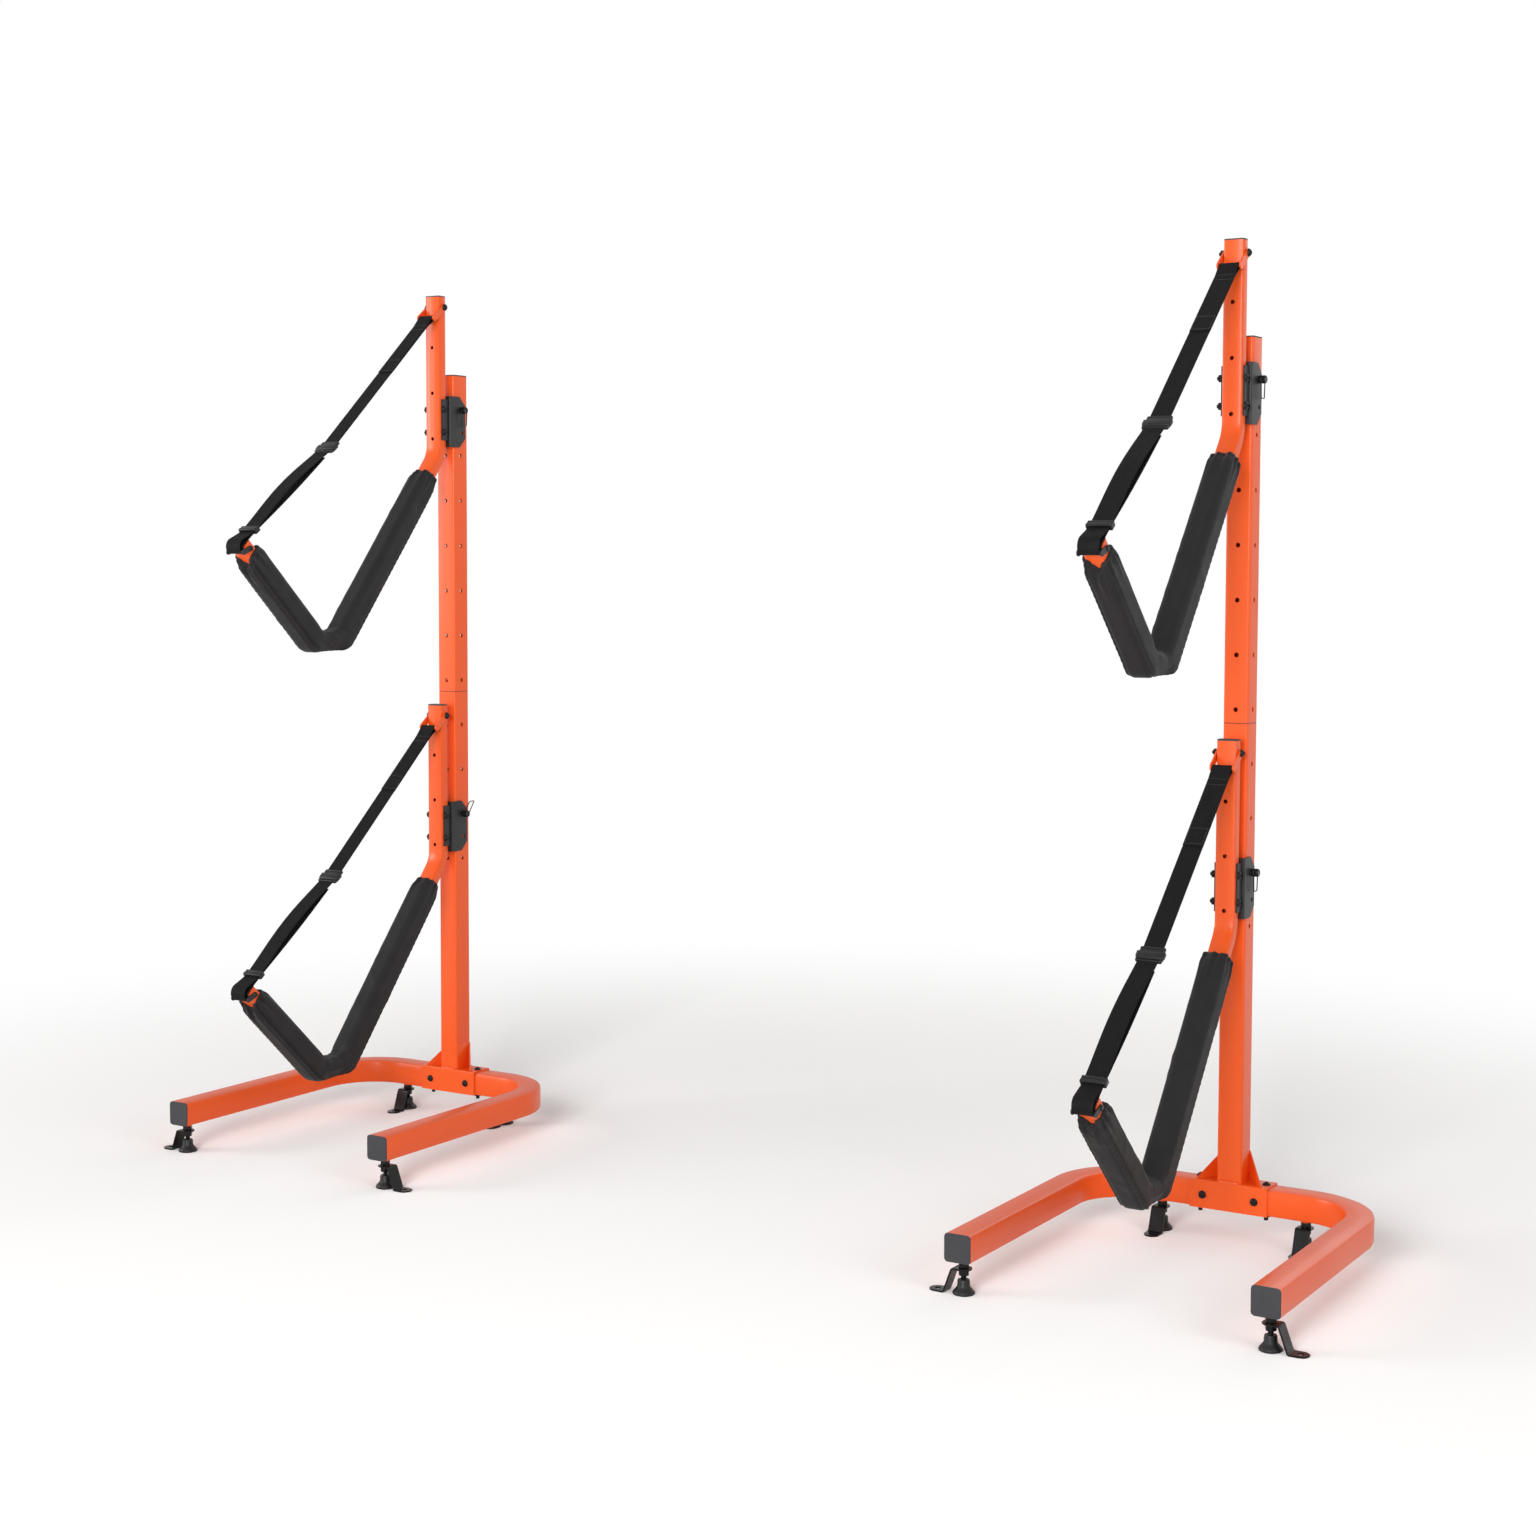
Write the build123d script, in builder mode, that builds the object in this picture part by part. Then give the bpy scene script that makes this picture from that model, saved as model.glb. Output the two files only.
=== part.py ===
"""Pair of free-standing storage stands with padded cradle arms for two boats.

Millimetres, +Z up, floor at Z = 0, cradles open towards -Y, boats lie along X.
Each stand is drawn once about its post's centre line, and each arm once about
its locking pin. The drawings are then set down at every place they are used.
"""

import os
from math import atan2, cos, degrees, radians, sin, sqrt

from build123d import *

os.makedirs("parts", exist_ok=True)

# Placing of the pair.
stand_spacing = 1850
post_y = 325.24

# Base tube: one square tube bent to a U that opens to the front.
tube_size = 50
tube_wall = 2
tube_corner = 6
tube_underside = 60
leg_spacing = 550
leg_reach = 582
base_bend = 130

# Post: two lengths of square tube over an inner spigot.
post_size = 48
post_wall = 2.5
post_corner = 5
post_top = 1668
seam_height = 965
spigot_length = 160
spigot_wall = 2
hole_pitch = 100
lowest_hole = 590
hole_count = 11
post_hole = 9

# Saddle over the base tube, and the plates that brace the post's foot.
saddle_length = 150
saddle_plate = 3
gusset_height = 57
gusset_reach = 62
weld_size = 2.6

# Saddle bolts.
bolt_size = 8
front_bolt_x = 50
top_bolt_x = 64
bolt_head = 14
nut_flats = 13
nut_height = 6.5

# Levelling feet.
front_foot_back = 24
rear_foot_x = 140
stud_size = 10
stud_low = 12
stud_high = 102
bush_size = 18
bush_height = 5
jam_flats = 17
jam_height = 9
plate_thick = 3
plate_width = 29
plate_drop_x = 17
plate_foot_x = 24
plate_hole_x = 50
plate_hole = 10
lock_height = 10
cone_high = 26
cone_base = 39
cone_top = 21
cone_shoulder = 13
cone_rim = 4

# Arms, measured from the locking pin. The path runs in the plane X = 0.
arm_width = 38
arm_depth = 25
arm_wall = 1.5
arm_corner = 4
arm_y = -55.5
arm_rise = 248
arm_bend = 62
knee_z = -101
heel_y = -386
toe_y = -452
floor_z = -506
tip_y = -667
tip_z = -300
arm_hole = 8
arm_holes_z = (135, 35, -65)

# Arm bracket: a post channel and an arm channel, back to back.
bracket_plate = 3
bracket_top = 30
bracket_bottom = -82
bracket_back = 12
bracket_chamfer = 20
second_hole = -50
channel_top = 22
channel_bottom = -68
channel_grip = 18

# Locking pin and its wire bail.
pin_size = 8
pin_tip_x = -40
knob_size = 15
knob_length = 13
wire_size = 2.2
bail_width = 20.5
bail_length = 34

# Strap, shackle, buckle and slide.
shackle_z = 223
shackle_y = -52
shackle_plate = 3
shackle_width = 14
shackle_reach = 40.5
shackle_fall = 38
bar_size = 7
web_width = 38
web_thick = 1.9
doubled_length = 190
buckle_y = -408
buckle_z = -98
buckle_length = 34
buckle_width = 54
buckle_thick = 11
slide_y = -645
slide_z = -277
slide_length = 15
slide_width = 46
slide_thick = 9
tip_bar = 6
tip_bar_along = -4
tip_bar_across = 19
tip_rivet_along = -13
tip_rivet = 6
tip_rivet_head = 11
tip_plate = 2.5
tip_plate_width = 11

# Padded sleeve.
sleeve_width = 54
sleeve_depth = 56
sleeve_corner = 15
sleeve_start = 58
sleeve_stop = 24
gather_length = 26
gather_width = 45
gather_depth = 33
gather_corner = 10

# Caps.
cap_plate = 2.5
leg_cap_plate = 3
cap_insert = 12

# Flats that stand for each rounded corner of a bent tube or a sleeve.
corner_flats = 2

# Named clearances, each on one side.
saddle_fit = 0.25
slide_fit = 0.1
bolt_fit = 0.1
running_fit = 0.08
post_fit = 0.6
arm_fit = 0.3
sleeve_fit = 0.3

# Sizes that follow from those above.
tube_axis = tube_underside + tube_size / 2
tube_top = tube_underside + tube_size
saddle_top = tube_top + saddle_plate
saddle_half = tube_size / 2 + saddle_fit + saddle_plate
lower_pin = lowest_hole + hole_pitch
upper_pin = lowest_hole + (hole_count - 1) * hole_pitch
hole_heights = [lowest_hole + hole_pitch * n for n in range(hole_count)]
front_foot_y = -(leg_reach - front_foot_back)
arm_back = arm_y + arm_depth / 2
bracket_half = post_size / 2 + post_fit + bracket_plate
channel_half = arm_width / 2 + arm_fit + bracket_plate
tip_run = sqrt((tip_y - toe_y) ** 2 + (tip_z - floor_z) ** 2)
tip_dir = ((tip_y - toe_y) / tip_run, (tip_z - floor_z) / tip_run)
rear_run = sqrt((heel_y - arm_y) ** 2 + (floor_z - knee_z) ** 2)
rear_dir = ((heel_y - arm_y) / rear_run, (floor_z - knee_z) / rear_run)
bar_y = shackle_y - shackle_reach * cos(radians(shackle_fall))
bar_z = shackle_z - shackle_reach * sin(radians(shackle_fall))


def tip_point(along, across):
    """Point near the arm's tip: along the tube from its end, and out of its outer face."""
    return (
        tip_y + tip_dir[0] * along - tip_dir[1] * across,
        tip_z + tip_dir[1] * along + tip_dir[0] * across,
    )


def section(width, depth, corner):
    """Corner points of a tube's section, with each rounded corner drawn as flats."""
    points = []
    for n, (a, b) in enumerate(((1, 1), (-1, 1), (-1, -1), (1, -1))):
        for step in range(corner_flats + 1):
            turn = radians(90 * n + 90 * step / corner_flats)
            points.append(
                (
                    a * (width / 2 - corner) + corner * cos(turn),
                    b * (depth / 2 - corner) + corner * sin(turn),
                )
            )
    return points


def ribbon(points, thickness):
    """Corner points of a band of even thickness about an open line in a plane."""
    left = []
    right = []
    last = len(points) - 1
    for n, (a, b) in enumerate(points):
        a0, b0 = points[max(n - 1, 0)]
        a1, b1 = points[min(n, last - 1)]
        a2, b2 = points[min(n + 1, last)]
        if n == 0:
            a0, b0 = a, b
            a1, b1 = a2, b2
            into = (a2 - a, b2 - b)
            out = into
        elif n == last:
            into = (a - a0, b - b0)
            out = into
        else:
            into = (a - a0, b - b0)
            out = (a2 - a, b2 - b)
        size_in = sqrt(into[0] ** 2 + into[1] ** 2)
        size_out = sqrt(out[0] ** 2 + out[1] ** 2)
        normal_in = (-into[1] / size_in, into[0] / size_in)
        normal_out = (-out[1] / size_out, out[0] / size_out)
        mid = (normal_in[0] + normal_out[0], normal_in[1] + normal_out[1])
        reach = thickness / (mid[0] ** 2 + mid[1] ** 2)
        left.append((a + mid[0] * reach, b + mid[1] * reach))
        right.append((a - mid[0] * reach, b - mid[1] * reach))
    return left + right[::-1]


# Base tube with its weld bushes.
leg_x = leg_spacing / 2
feet_places = {
    "front_left": (-leg_x, front_foot_y, 180),
    "front_right": (leg_x, front_foot_y, 0),
    "rear_left": (-rear_foot_x, 0, -90),
    "rear_right": (rear_foot_x, 0, -90),
}
with BuildPart() as base_tube:
    with BuildLine() as base_path:
        FilletPolyline(
            (-leg_x, -leg_reach, tube_axis),
            (-leg_x, 0, tube_axis),
            (leg_x, 0, tube_axis),
            (leg_x, -leg_reach, tube_axis),
            radius=base_bend,
        )
    with BuildSketch(Plane(origin=(-leg_x, -leg_reach, tube_axis), z_dir=(0, 1, 0))):
        Polygon(*section(tube_size, tube_size, tube_corner), align=None)
        Polygon(
            *section(
                tube_size - 2 * tube_wall,
                tube_size - 2 * tube_wall,
                tube_corner - tube_wall,
            ),
            align=None,
            mode=Mode.SUBTRACT,
        )
    sweep()
    with BuildSketch(Plane.XY.offset(tube_underside - bush_height)):
        for x, y, turn in feet_places.values():
            with Locations((x, y)):
                Circle(bush_size / 2)
    extrude(amount=bush_height + tube_wall / 2)
    with BuildSketch(Plane.XY.offset(tube_underside - bush_height)):
        for x, y, turn in feet_places.values():
            with Locations((x, y)):
                Circle(stud_size / 2 + running_fit)
    extrude(amount=bush_height + 2 * tube_wall, mode=Mode.SUBTRACT)
    with BuildSketch(Plane.XY.offset(tube_underside)):
        with Locations((-top_bolt_x, 0), (top_bolt_x, 0)):
            Circle(bolt_size / 2 + bolt_fit)
    extrude(amount=tube_size, mode=Mode.SUBTRACT)
    with BuildSketch(Plane.XZ.offset(-tube_size / 2)):
        with Locations((-front_bolt_x, tube_axis), (front_bolt_x, tube_axis)):
            Circle(bolt_size / 2 + bolt_fit)
    extrude(amount=tube_size, mode=Mode.SUBTRACT)

# Plugs in the two front ends of the base tube.
with BuildPart() as leg_caps:
    with BuildSketch(Plane.XZ.offset(leg_reach)):
        with Locations((-leg_x, tube_axis), (leg_x, tube_axis)):
            Polygon(*section(tube_size, tube_size, tube_corner), align=None)
    extrude(amount=leg_cap_plate)
    chamfer(leg_caps.faces().filter_by(Plane.XZ).group_by(Axis.Y)[0].edges(), 1)
    with BuildSketch(Plane.XZ.offset(leg_reach)):
        with Locations((-leg_x, tube_axis), (leg_x, tube_axis)):
            Polygon(
                *section(
                    tube_size - 2 * tube_wall - 2 * slide_fit,
                    tube_size - 2 * tube_wall - 2 * slide_fit,
                    tube_corner - tube_wall,
                ),
                align=None,
            )
    extrude(amount=-cap_insert)

# Lower post, welded to the saddle and its gussets.
lower_holes = [z for z in hole_heights if z < seam_height]
upper_holes = [z for z in hole_heights if z > seam_height]
with BuildPart() as lower_post:
    with BuildSketch(Plane.YZ.offset(-saddle_length / 2)) as saddle_profile:
        with Locations((0, tube_underside)):
            Rectangle(
                2 * saddle_half,
                tube_size + saddle_plate,
                align=(Align.CENTER, Align.MIN),
            )
            Rectangle(
                tube_size + 2 * saddle_fit,
                tube_size,
                align=(Align.CENTER, Align.MIN),
                mode=Mode.SUBTRACT,
            )
        fillet(saddle_profile.vertices().group_by(Axis.Y)[-1], saddle_plate)
    extrude(amount=saddle_length)
    with BuildSketch(Plane.XY.offset(saddle_top)):
        RectangleRounded(post_size, post_size, post_corner)
    extrude(amount=seam_height - saddle_top)
    for hand in (-1, 1):
        with BuildSketch(Plane.XY.offset(saddle_top)):
            Polygon(
                *ribbon(
                    [
                        (hand * post_size / 2, post_size / 2 - saddle_plate),
                        (hand * gusset_reach, -post_size / 2),
                    ],
                    saddle_plate,
                ),
                align=None,
            )
        extrude(amount=gusset_height)
    for hand in (-1, 1):
        with BuildSketch(Plane.XZ.offset(-post_size)):
            Polygon(
                (hand * (post_size / 2 - saddle_plate / 2), saddle_top + gusset_height),
                (hand * (gusset_reach + 8), saddle_top + gusset_height),
                (hand * (gusset_reach + 8), saddle_top),
                (hand * (gusset_reach + 1.5), saddle_top),
                align=None,
            )
        extrude(amount=2 * post_size, mode=Mode.SUBTRACT)
    for side in (-1, 1):
        with BuildSketch(Plane.YZ.offset(-post_size / 2 + post_corner)):
            with Locations((side * post_size / 2, saddle_top)):
                Circle(weld_size)
        extrude(amount=post_size - 2 * post_corner)
    with BuildSketch(Plane.XY.offset(saddle_top)):
        RectangleRounded(
            post_size - 2 * post_wall, post_size - 2 * post_wall, post_corner - post_wall
        )
    extrude(amount=seam_height - saddle_top, mode=Mode.SUBTRACT)
    with BuildSketch(Plane.XZ.offset(-post_size / 2)):
        for z in lower_holes:
            with Locations((0, z)):
                Circle(post_hole / 2)
    extrude(amount=post_size, mode=Mode.SUBTRACT)
    with BuildSketch(Plane.YZ.offset(-post_size / 2)):
        for z in lower_holes:
            with Locations((0, z)):
                Circle(post_hole / 2)
    extrude(amount=post_size, mode=Mode.SUBTRACT)
    with BuildSketch(Plane.XY.offset(tube_top)):
        with Locations((-top_bolt_x, 0), (top_bolt_x, 0)):
            Circle(bolt_size / 2 + bolt_fit)
    extrude(amount=saddle_plate, mode=Mode.SUBTRACT)
    with BuildSketch(Plane.XZ.offset(-saddle_half)):
        with Locations((-front_bolt_x, tube_axis), (front_bolt_x, tube_axis)):
            Circle(bolt_size / 2 + bolt_fit)
    extrude(amount=2 * saddle_half, mode=Mode.SUBTRACT)

# Upper post.
with BuildPart() as upper_post:
    with BuildSketch(Plane.XY.offset(seam_height)):
        RectangleRounded(post_size, post_size, post_corner)
        RectangleRounded(
            post_size - 2 * post_wall,
            post_size - 2 * post_wall,
            post_corner - post_wall,
            mode=Mode.SUBTRACT,
        )
    extrude(amount=post_top - cap_plate - seam_height)
    with BuildSketch(Plane.XZ.offset(-post_size / 2)):
        for z in upper_holes:
            with Locations((0, z)):
                Circle(post_hole / 2)
    extrude(amount=post_size, mode=Mode.SUBTRACT)
    with BuildSketch(Plane.YZ.offset(-post_size / 2)):
        for z in upper_holes:
            with Locations((0, z)):
                Circle(post_hole / 2)
    extrude(amount=post_size, mode=Mode.SUBTRACT)

# Spigot inside the seam between the two posts.
spigot_size = post_size - 2 * post_wall - 2 * slide_fit
spigot_low = seam_height - spigot_length / 2
spigot_holes = [z for z in hole_heights if spigot_low < z < spigot_low + spigot_length]
with BuildPart() as post_spigot:
    with BuildSketch(Plane.XY.offset(spigot_low)):
        RectangleRounded(spigot_size, spigot_size, post_corner - post_wall)
        Rectangle(
            spigot_size - 2 * spigot_wall,
            spigot_size - 2 * spigot_wall,
            mode=Mode.SUBTRACT,
        )
    extrude(amount=spigot_length)
    with BuildSketch(Plane.XZ.offset(-post_size / 2)):
        for z in spigot_holes:
            with Locations((0, z)):
                Circle(post_hole / 2)
    extrude(amount=post_size, mode=Mode.SUBTRACT)
    with BuildSketch(Plane.YZ.offset(-post_size / 2)):
        for z in spigot_holes:
            with Locations((0, z)):
                Circle(post_hole / 2)
    extrude(amount=post_size, mode=Mode.SUBTRACT)

# Caps on the post and on the two arms.
with BuildPart() as top_caps:
    with BuildSketch(Plane.XY.offset(post_top - cap_plate)):
        RectangleRounded(post_size, post_size, post_corner)
    extrude(amount=cap_plate)
    with BuildSketch(Plane.XY.offset(post_top - cap_plate)):
        RectangleRounded(
            post_size - 2 * post_wall - 2 * slide_fit,
            post_size - 2 * post_wall - 2 * slide_fit,
            post_corner - post_wall,
        )
    extrude(amount=-cap_insert)
    for pin in (lower_pin, upper_pin):
        with BuildSketch(Plane.XY.offset(pin + arm_rise - cap_plate)):
            with Locations((0, arm_y)):
                Polygon(*section(arm_width, arm_depth, arm_corner), align=None)
        extrude(amount=cap_plate)
        with BuildSketch(Plane.XY.offset(pin + arm_rise - cap_plate)):
            with Locations((0, arm_y)):
                Polygon(
                    *section(
                        arm_width - 2 * arm_wall - 2 * slide_fit,
                        arm_depth - 2 * arm_wall - 2 * slide_fit,
                        arm_corner - arm_wall,
                    ),
                    align=None,
                )
        extrude(amount=-cap_insert)

# Saddle bolts: two through the front, two down through the top.
with BuildPart() as base_bolts:
    with BuildSketch(Plane.XZ.offset(-saddle_half - nut_height - 2)):
        with Locations((-front_bolt_x, tube_axis), (front_bolt_x, tube_axis)):
            Circle(bolt_size / 2)
    extrude(amount=2 * saddle_half + nut_height + 4)
    with BuildSketch(Plane.XZ.offset(saddle_half)):
        with Locations((-front_bolt_x, tube_axis), (front_bolt_x, tube_axis)):
            Circle(bolt_head / 2)
    extrude(amount=5, taper=30)
    with BuildSketch(Plane.XY.offset(tube_underside - nut_height - 6)):
        with Locations((-top_bolt_x, 0), (top_bolt_x, 0)):
            Circle(bolt_size / 2)
    extrude(amount=saddle_top + 1 - tube_underside + nut_height + 6)
    with BuildSketch(Plane.XY.offset(saddle_top)):
        with Locations((-top_bolt_x, 0), (top_bolt_x, 0)):
            Circle(bolt_head / 2)
    extrude(amount=2.5, taper=20)

with BuildPart() as base_nuts:
    with BuildSketch(Plane.XZ.offset(-saddle_half)):
        with Locations((-front_bolt_x, tube_axis), (front_bolt_x, tube_axis)):
            RegularPolygon(nut_flats / 2, 6, major_radius=False)
            Circle(bolt_size / 2 + slide_fit, mode=Mode.SUBTRACT)
    extrude(amount=-nut_height)
    with BuildSketch(Plane.XY.offset(tube_underside)):
        with Locations((-top_bolt_x, 0), (top_bolt_x, 0)):
            RegularPolygon(nut_flats / 2, 6, major_radius=False)
            Circle(bolt_size / 2 + slide_fit, mode=Mode.SUBTRACT)
    extrude(amount=-nut_height)

# Levelling foot with its floor plate, drawn about the stud, plate towards +X.
plate_high = tube_underside - bush_height - jam_height
plate_low = plate_high - plate_thick
with BuildPart() as foot_stud:
    with BuildSketch(Plane.XY.offset(stud_low)):
        Circle(stud_size / 2)
    extrude(amount=stud_high - stud_low)
with BuildPart() as foot_nut:
    with BuildSketch(Plane.XY.offset(plate_high)):
        RegularPolygon(jam_flats / 2, 6, major_radius=False)
        Circle(stud_size / 2 + slide_fit, mode=Mode.SUBTRACT)
    extrude(amount=jam_height)
with BuildPart() as foot_lock_nut:
    with BuildSketch(Plane.XY.offset(plate_low - lock_height)):
        RegularPolygon(jam_flats / 2, 6, major_radius=False)
        Circle(stud_size / 2 + slide_fit, mode=Mode.SUBTRACT)
    extrude(amount=lock_height)
with BuildPart() as foot_plate:
    with BuildSketch(Plane.XZ.offset(-plate_width / 2)):
        Polygon(
            *ribbon(
                [
                    (-plate_width / 2, plate_high - plate_thick / 2),
                    (plate_drop_x, plate_high - plate_thick / 2),
                    (plate_foot_x, plate_thick / 2),
                    (plate_hole_x + plate_width / 2, plate_thick / 2),
                ],
                plate_thick,
            ),
            align=None,
        )
    extrude(amount=plate_width)
    with BuildSketch(Plane.XY):
        with Locations((plate_hole_x / 2, 0)):
            SlotCenterToCenter(plate_hole_x, plate_width)
    extrude(amount=plate_high, mode=Mode.INTERSECT)
    with BuildSketch(Plane.XY):
        Circle(stud_size / 2 + slide_fit)
        with Locations((plate_hole_x, 0)):
            Circle(plate_hole / 2)
    extrude(amount=plate_high, mode=Mode.SUBTRACT)
with BuildPart() as foot_cone:
    with BuildSketch(Plane.XZ):
        with BuildLine():
            Polyline(
                (0, 0),
                (cone_base / 2, 0),
                (cone_base / 2, cone_rim),
                (cone_top / 2 + 1, cone_shoulder),
                (cone_top / 2, cone_high),
                (stud_size / 2 + slide_fit, cone_high),
                (stud_size / 2 + slide_fit, stud_low - 1),
                (0, stud_low - 1),
                close=True,
            )
        make_face()
    revolve(axis=Axis.Z)

# Arm tube, closed at its tip.
with BuildPart() as arm_tube:
    with BuildLine() as arm_path:
        FilletPolyline(
            (0, arm_y, arm_rise - cap_plate),
            (0, arm_y, knee_z),
            (0, heel_y, floor_z),
            (0, toe_y, floor_z),
            (0, tip_y, tip_z),
            radius=arm_bend,
        )
    arm_end = Plane(
        origin=(0, arm_y, arm_rise - cap_plate), x_dir=(1, 0, 0), z_dir=(0, 0, -1)
    )
    with BuildSketch(arm_end):
        Polygon(*section(arm_width, arm_depth, arm_corner), align=None)
        Polygon(
            *section(
                arm_width - 2 * arm_wall, arm_depth - 2 * arm_wall, arm_corner - arm_wall
            ),
            align=None,
            mode=Mode.SUBTRACT,
        )
    sweep()
    with BuildSketch(
        Plane(origin=(0, tip_y, tip_z), x_dir=(1, 0, 0), z_dir=(0, tip_dir[0], tip_dir[1]))
    ):
        Polygon(*section(arm_width, arm_depth, arm_corner), align=None)
    extrude(amount=-2)
    with BuildSketch(Plane.XZ.offset(-arm_y - arm_depth)):
        for z in arm_holes_z:
            with Locations((0, z)):
                Circle(arm_hole / 2)
    extrude(amount=2 * arm_depth, mode=Mode.SUBTRACT)
    with BuildSketch(Plane.YZ.offset(-arm_width / 2)):
        with Locations((arm_y, 0), (arm_y, second_hole), (shackle_y, shackle_z)):
            Circle(bolt_size / 2 + bolt_fit)
        with Locations(tip_point(tip_rivet_along, 0)):
            Circle(tip_rivet / 2 + bolt_fit)
    extrude(amount=arm_width, mode=Mode.SUBTRACT)

# Bracket that joins the arm to the post.
with BuildPart() as post_bracket:
    with BuildSketch(Plane.YZ.offset(-bracket_half)) as bracket_side:
        with BuildLine():
            Polyline(
                (arm_back + bracket_plate, bracket_bottom),
                (bracket_back - bracket_chamfer, bracket_bottom),
                (bracket_back, bracket_bottom + bracket_chamfer),
                (bracket_back, bracket_top - bracket_chamfer),
                (bracket_back - bracket_chamfer, bracket_top),
                (arm_back + bracket_plate, bracket_top),
                close=True,
            )
        make_face()
    extrude(amount=2 * bracket_half)
    front_edges = post_bracket.edges().filter_by(Axis.Z).group_by(Axis.Y)[0]
    fillet(front_edges, bracket_plate)
    with BuildSketch(Plane.XY.offset(bracket_bottom)):
        with Locations((0, arm_back + 2 * bracket_plate)):
            Rectangle(
                post_size + 2 * post_fit,
                2 * post_size,
                align=(Align.CENTER, Align.MIN),
            )
    extrude(amount=bracket_top - bracket_bottom, mode=Mode.SUBTRACT)
    with BuildSketch(Plane.XY.offset(channel_bottom)):
        with Locations((0, arm_back + bracket_plate)):
            Rectangle(
                2 * channel_half,
                bracket_plate + channel_grip,
                align=(Align.CENTER, Align.MAX),
            )
    extrude(amount=channel_top - channel_bottom)
    with BuildSketch(Plane.XY.offset(channel_bottom)):
        with Locations((0, arm_back)):
            Rectangle(
                arm_width + 2 * arm_fit,
                2 * arm_depth,
                align=(Align.CENTER, Align.MAX),
            )
    extrude(amount=channel_top - channel_bottom, mode=Mode.SUBTRACT)
    with BuildSketch(Plane.YZ.offset(-bracket_half)):
        with Locations((0, 0), (0, second_hole)):
            Circle(pin_size / 2 + running_fit)
        with Locations((arm_y, 0), (arm_y, second_hole)):
            Circle(bolt_size / 2 + bolt_fit)
    extrude(amount=2 * bracket_half, mode=Mode.SUBTRACT)
with BuildPart() as bracket_pad:
    pad_front = arm_back + 2 * bracket_plate
    with BuildSketch(Plane.XY.offset(channel_bottom)):
        with Locations((0, pad_front)):
            Rectangle(
                post_size - 14,
                -post_size / 2 - arm_fit - pad_front,
                align=(Align.CENTER, Align.MIN),
            )
    extrude(amount=channel_top - channel_bottom)

# Ears and bar at the arm's tip, which hold the loop of webbing.
tip_half = arm_width / 2 + arm_fit
with BuildPart() as tip_bracket:
    for low in (-tip_half - tip_plate, tip_half):
        with BuildSketch(Plane.YZ.offset(low)):
            with BuildLine():
                Polyline(
                    tip_point(tip_bar_along, tip_bar_across),
                    tip_point(tip_rivet_along, 0),
                )
            trace(line_width=tip_plate_width)
            for along, across in ((tip_bar_along, tip_bar_across), (tip_rivet_along, 0)):
                with Locations(tip_point(along, across)):
                    Circle(tip_plate_width / 2)
        extrude(amount=tip_plate)
    with BuildSketch(Plane.YZ.offset(-tip_half)):
        with Locations(tip_point(tip_bar_along, tip_bar_across)):
            Circle(tip_bar / 2)
    extrude(amount=2 * tip_half)
    with BuildSketch(Plane.YZ.offset(-tip_half - tip_plate)):
        with Locations(tip_point(tip_rivet_along, 0)):
            Circle(tip_rivet / 2 + bolt_fit)
    extrude(amount=2 * (tip_half + tip_plate), mode=Mode.SUBTRACT)

# Bolts through the arm, with domed nuts, and the shackle's pivot bolt.
shackle_half = arm_width / 2 + 1 + shackle_plate
with BuildPart() as arm_bolts:
    for y, z, half in (
        (arm_y, 0, channel_half),
        (arm_y, second_hole, channel_half),
        (shackle_y, shackle_z, shackle_half),
    ):
        with BuildSketch(Plane.YZ.offset(-half - nut_height)):
            with Locations((y, z)):
                Circle(bolt_size / 2)
        extrude(amount=2 * half + nut_height)
        with BuildSketch(Plane.YZ.offset(half)):
            with Locations((y, z)):
                Circle(nut_flats / 2)
        extrude(amount=4.5, taper=25)
        with BuildSketch(Plane.YZ.offset(-half)):
            with Locations((y, z)):
                RegularPolygon(nut_flats / 2, 6, major_radius=False)
        extrude(amount=-nut_height * 0.8)
        with BuildSketch(Plane.YZ.offset(-half - nut_height * 0.8)):
            with Locations((y, z)):
                Circle(nut_flats / 2 - 0.7)
        extrude(amount=-nut_height * 0.6, taper=35)
    with BuildSketch(Plane.YZ.offset(-tip_half - tip_plate - 1)):
        with Locations(tip_point(tip_rivet_along, 0)):
            Circle(tip_rivet / 2)
    extrude(amount=2 * (tip_half + tip_plate + 1))
    for low, rise in ((tip_half + tip_plate, 2), (-tip_half - tip_plate, -2)):
        with BuildSketch(Plane.YZ.offset(low)):
            with Locations(tip_point(tip_rivet_along, 0)):
                Circle(tip_rivet_head / 2)
        extrude(amount=rise, taper=30)

# Locking pin.
knob_x = bracket_half + slide_fit
bail_x = knob_x + knob_length / 2
with BuildPart() as locking_pin:
    with BuildSketch(Plane.YZ.offset(pin_tip_x)):
        Circle(pin_size / 2)
    extrude(amount=knob_x - pin_tip_x + 1)
    chamfer(locking_pin.faces().sort_by(Axis.X)[0].edges(), 1.5)
    with BuildSketch(Plane.YZ.offset(knob_x)):
        Circle(knob_size / 2)
    extrude(amount=knob_length)
    chamfer(locking_pin.faces().sort_by(Axis.X)[-1].edges(), 2)
    with BuildSketch(Plane.XZ.offset(-knob_size)):
        with Locations((bail_x, 0)):
            Circle(wire_size / 2 + running_fit)
    extrude(amount=2 * knob_size, mode=Mode.SUBTRACT)

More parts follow.
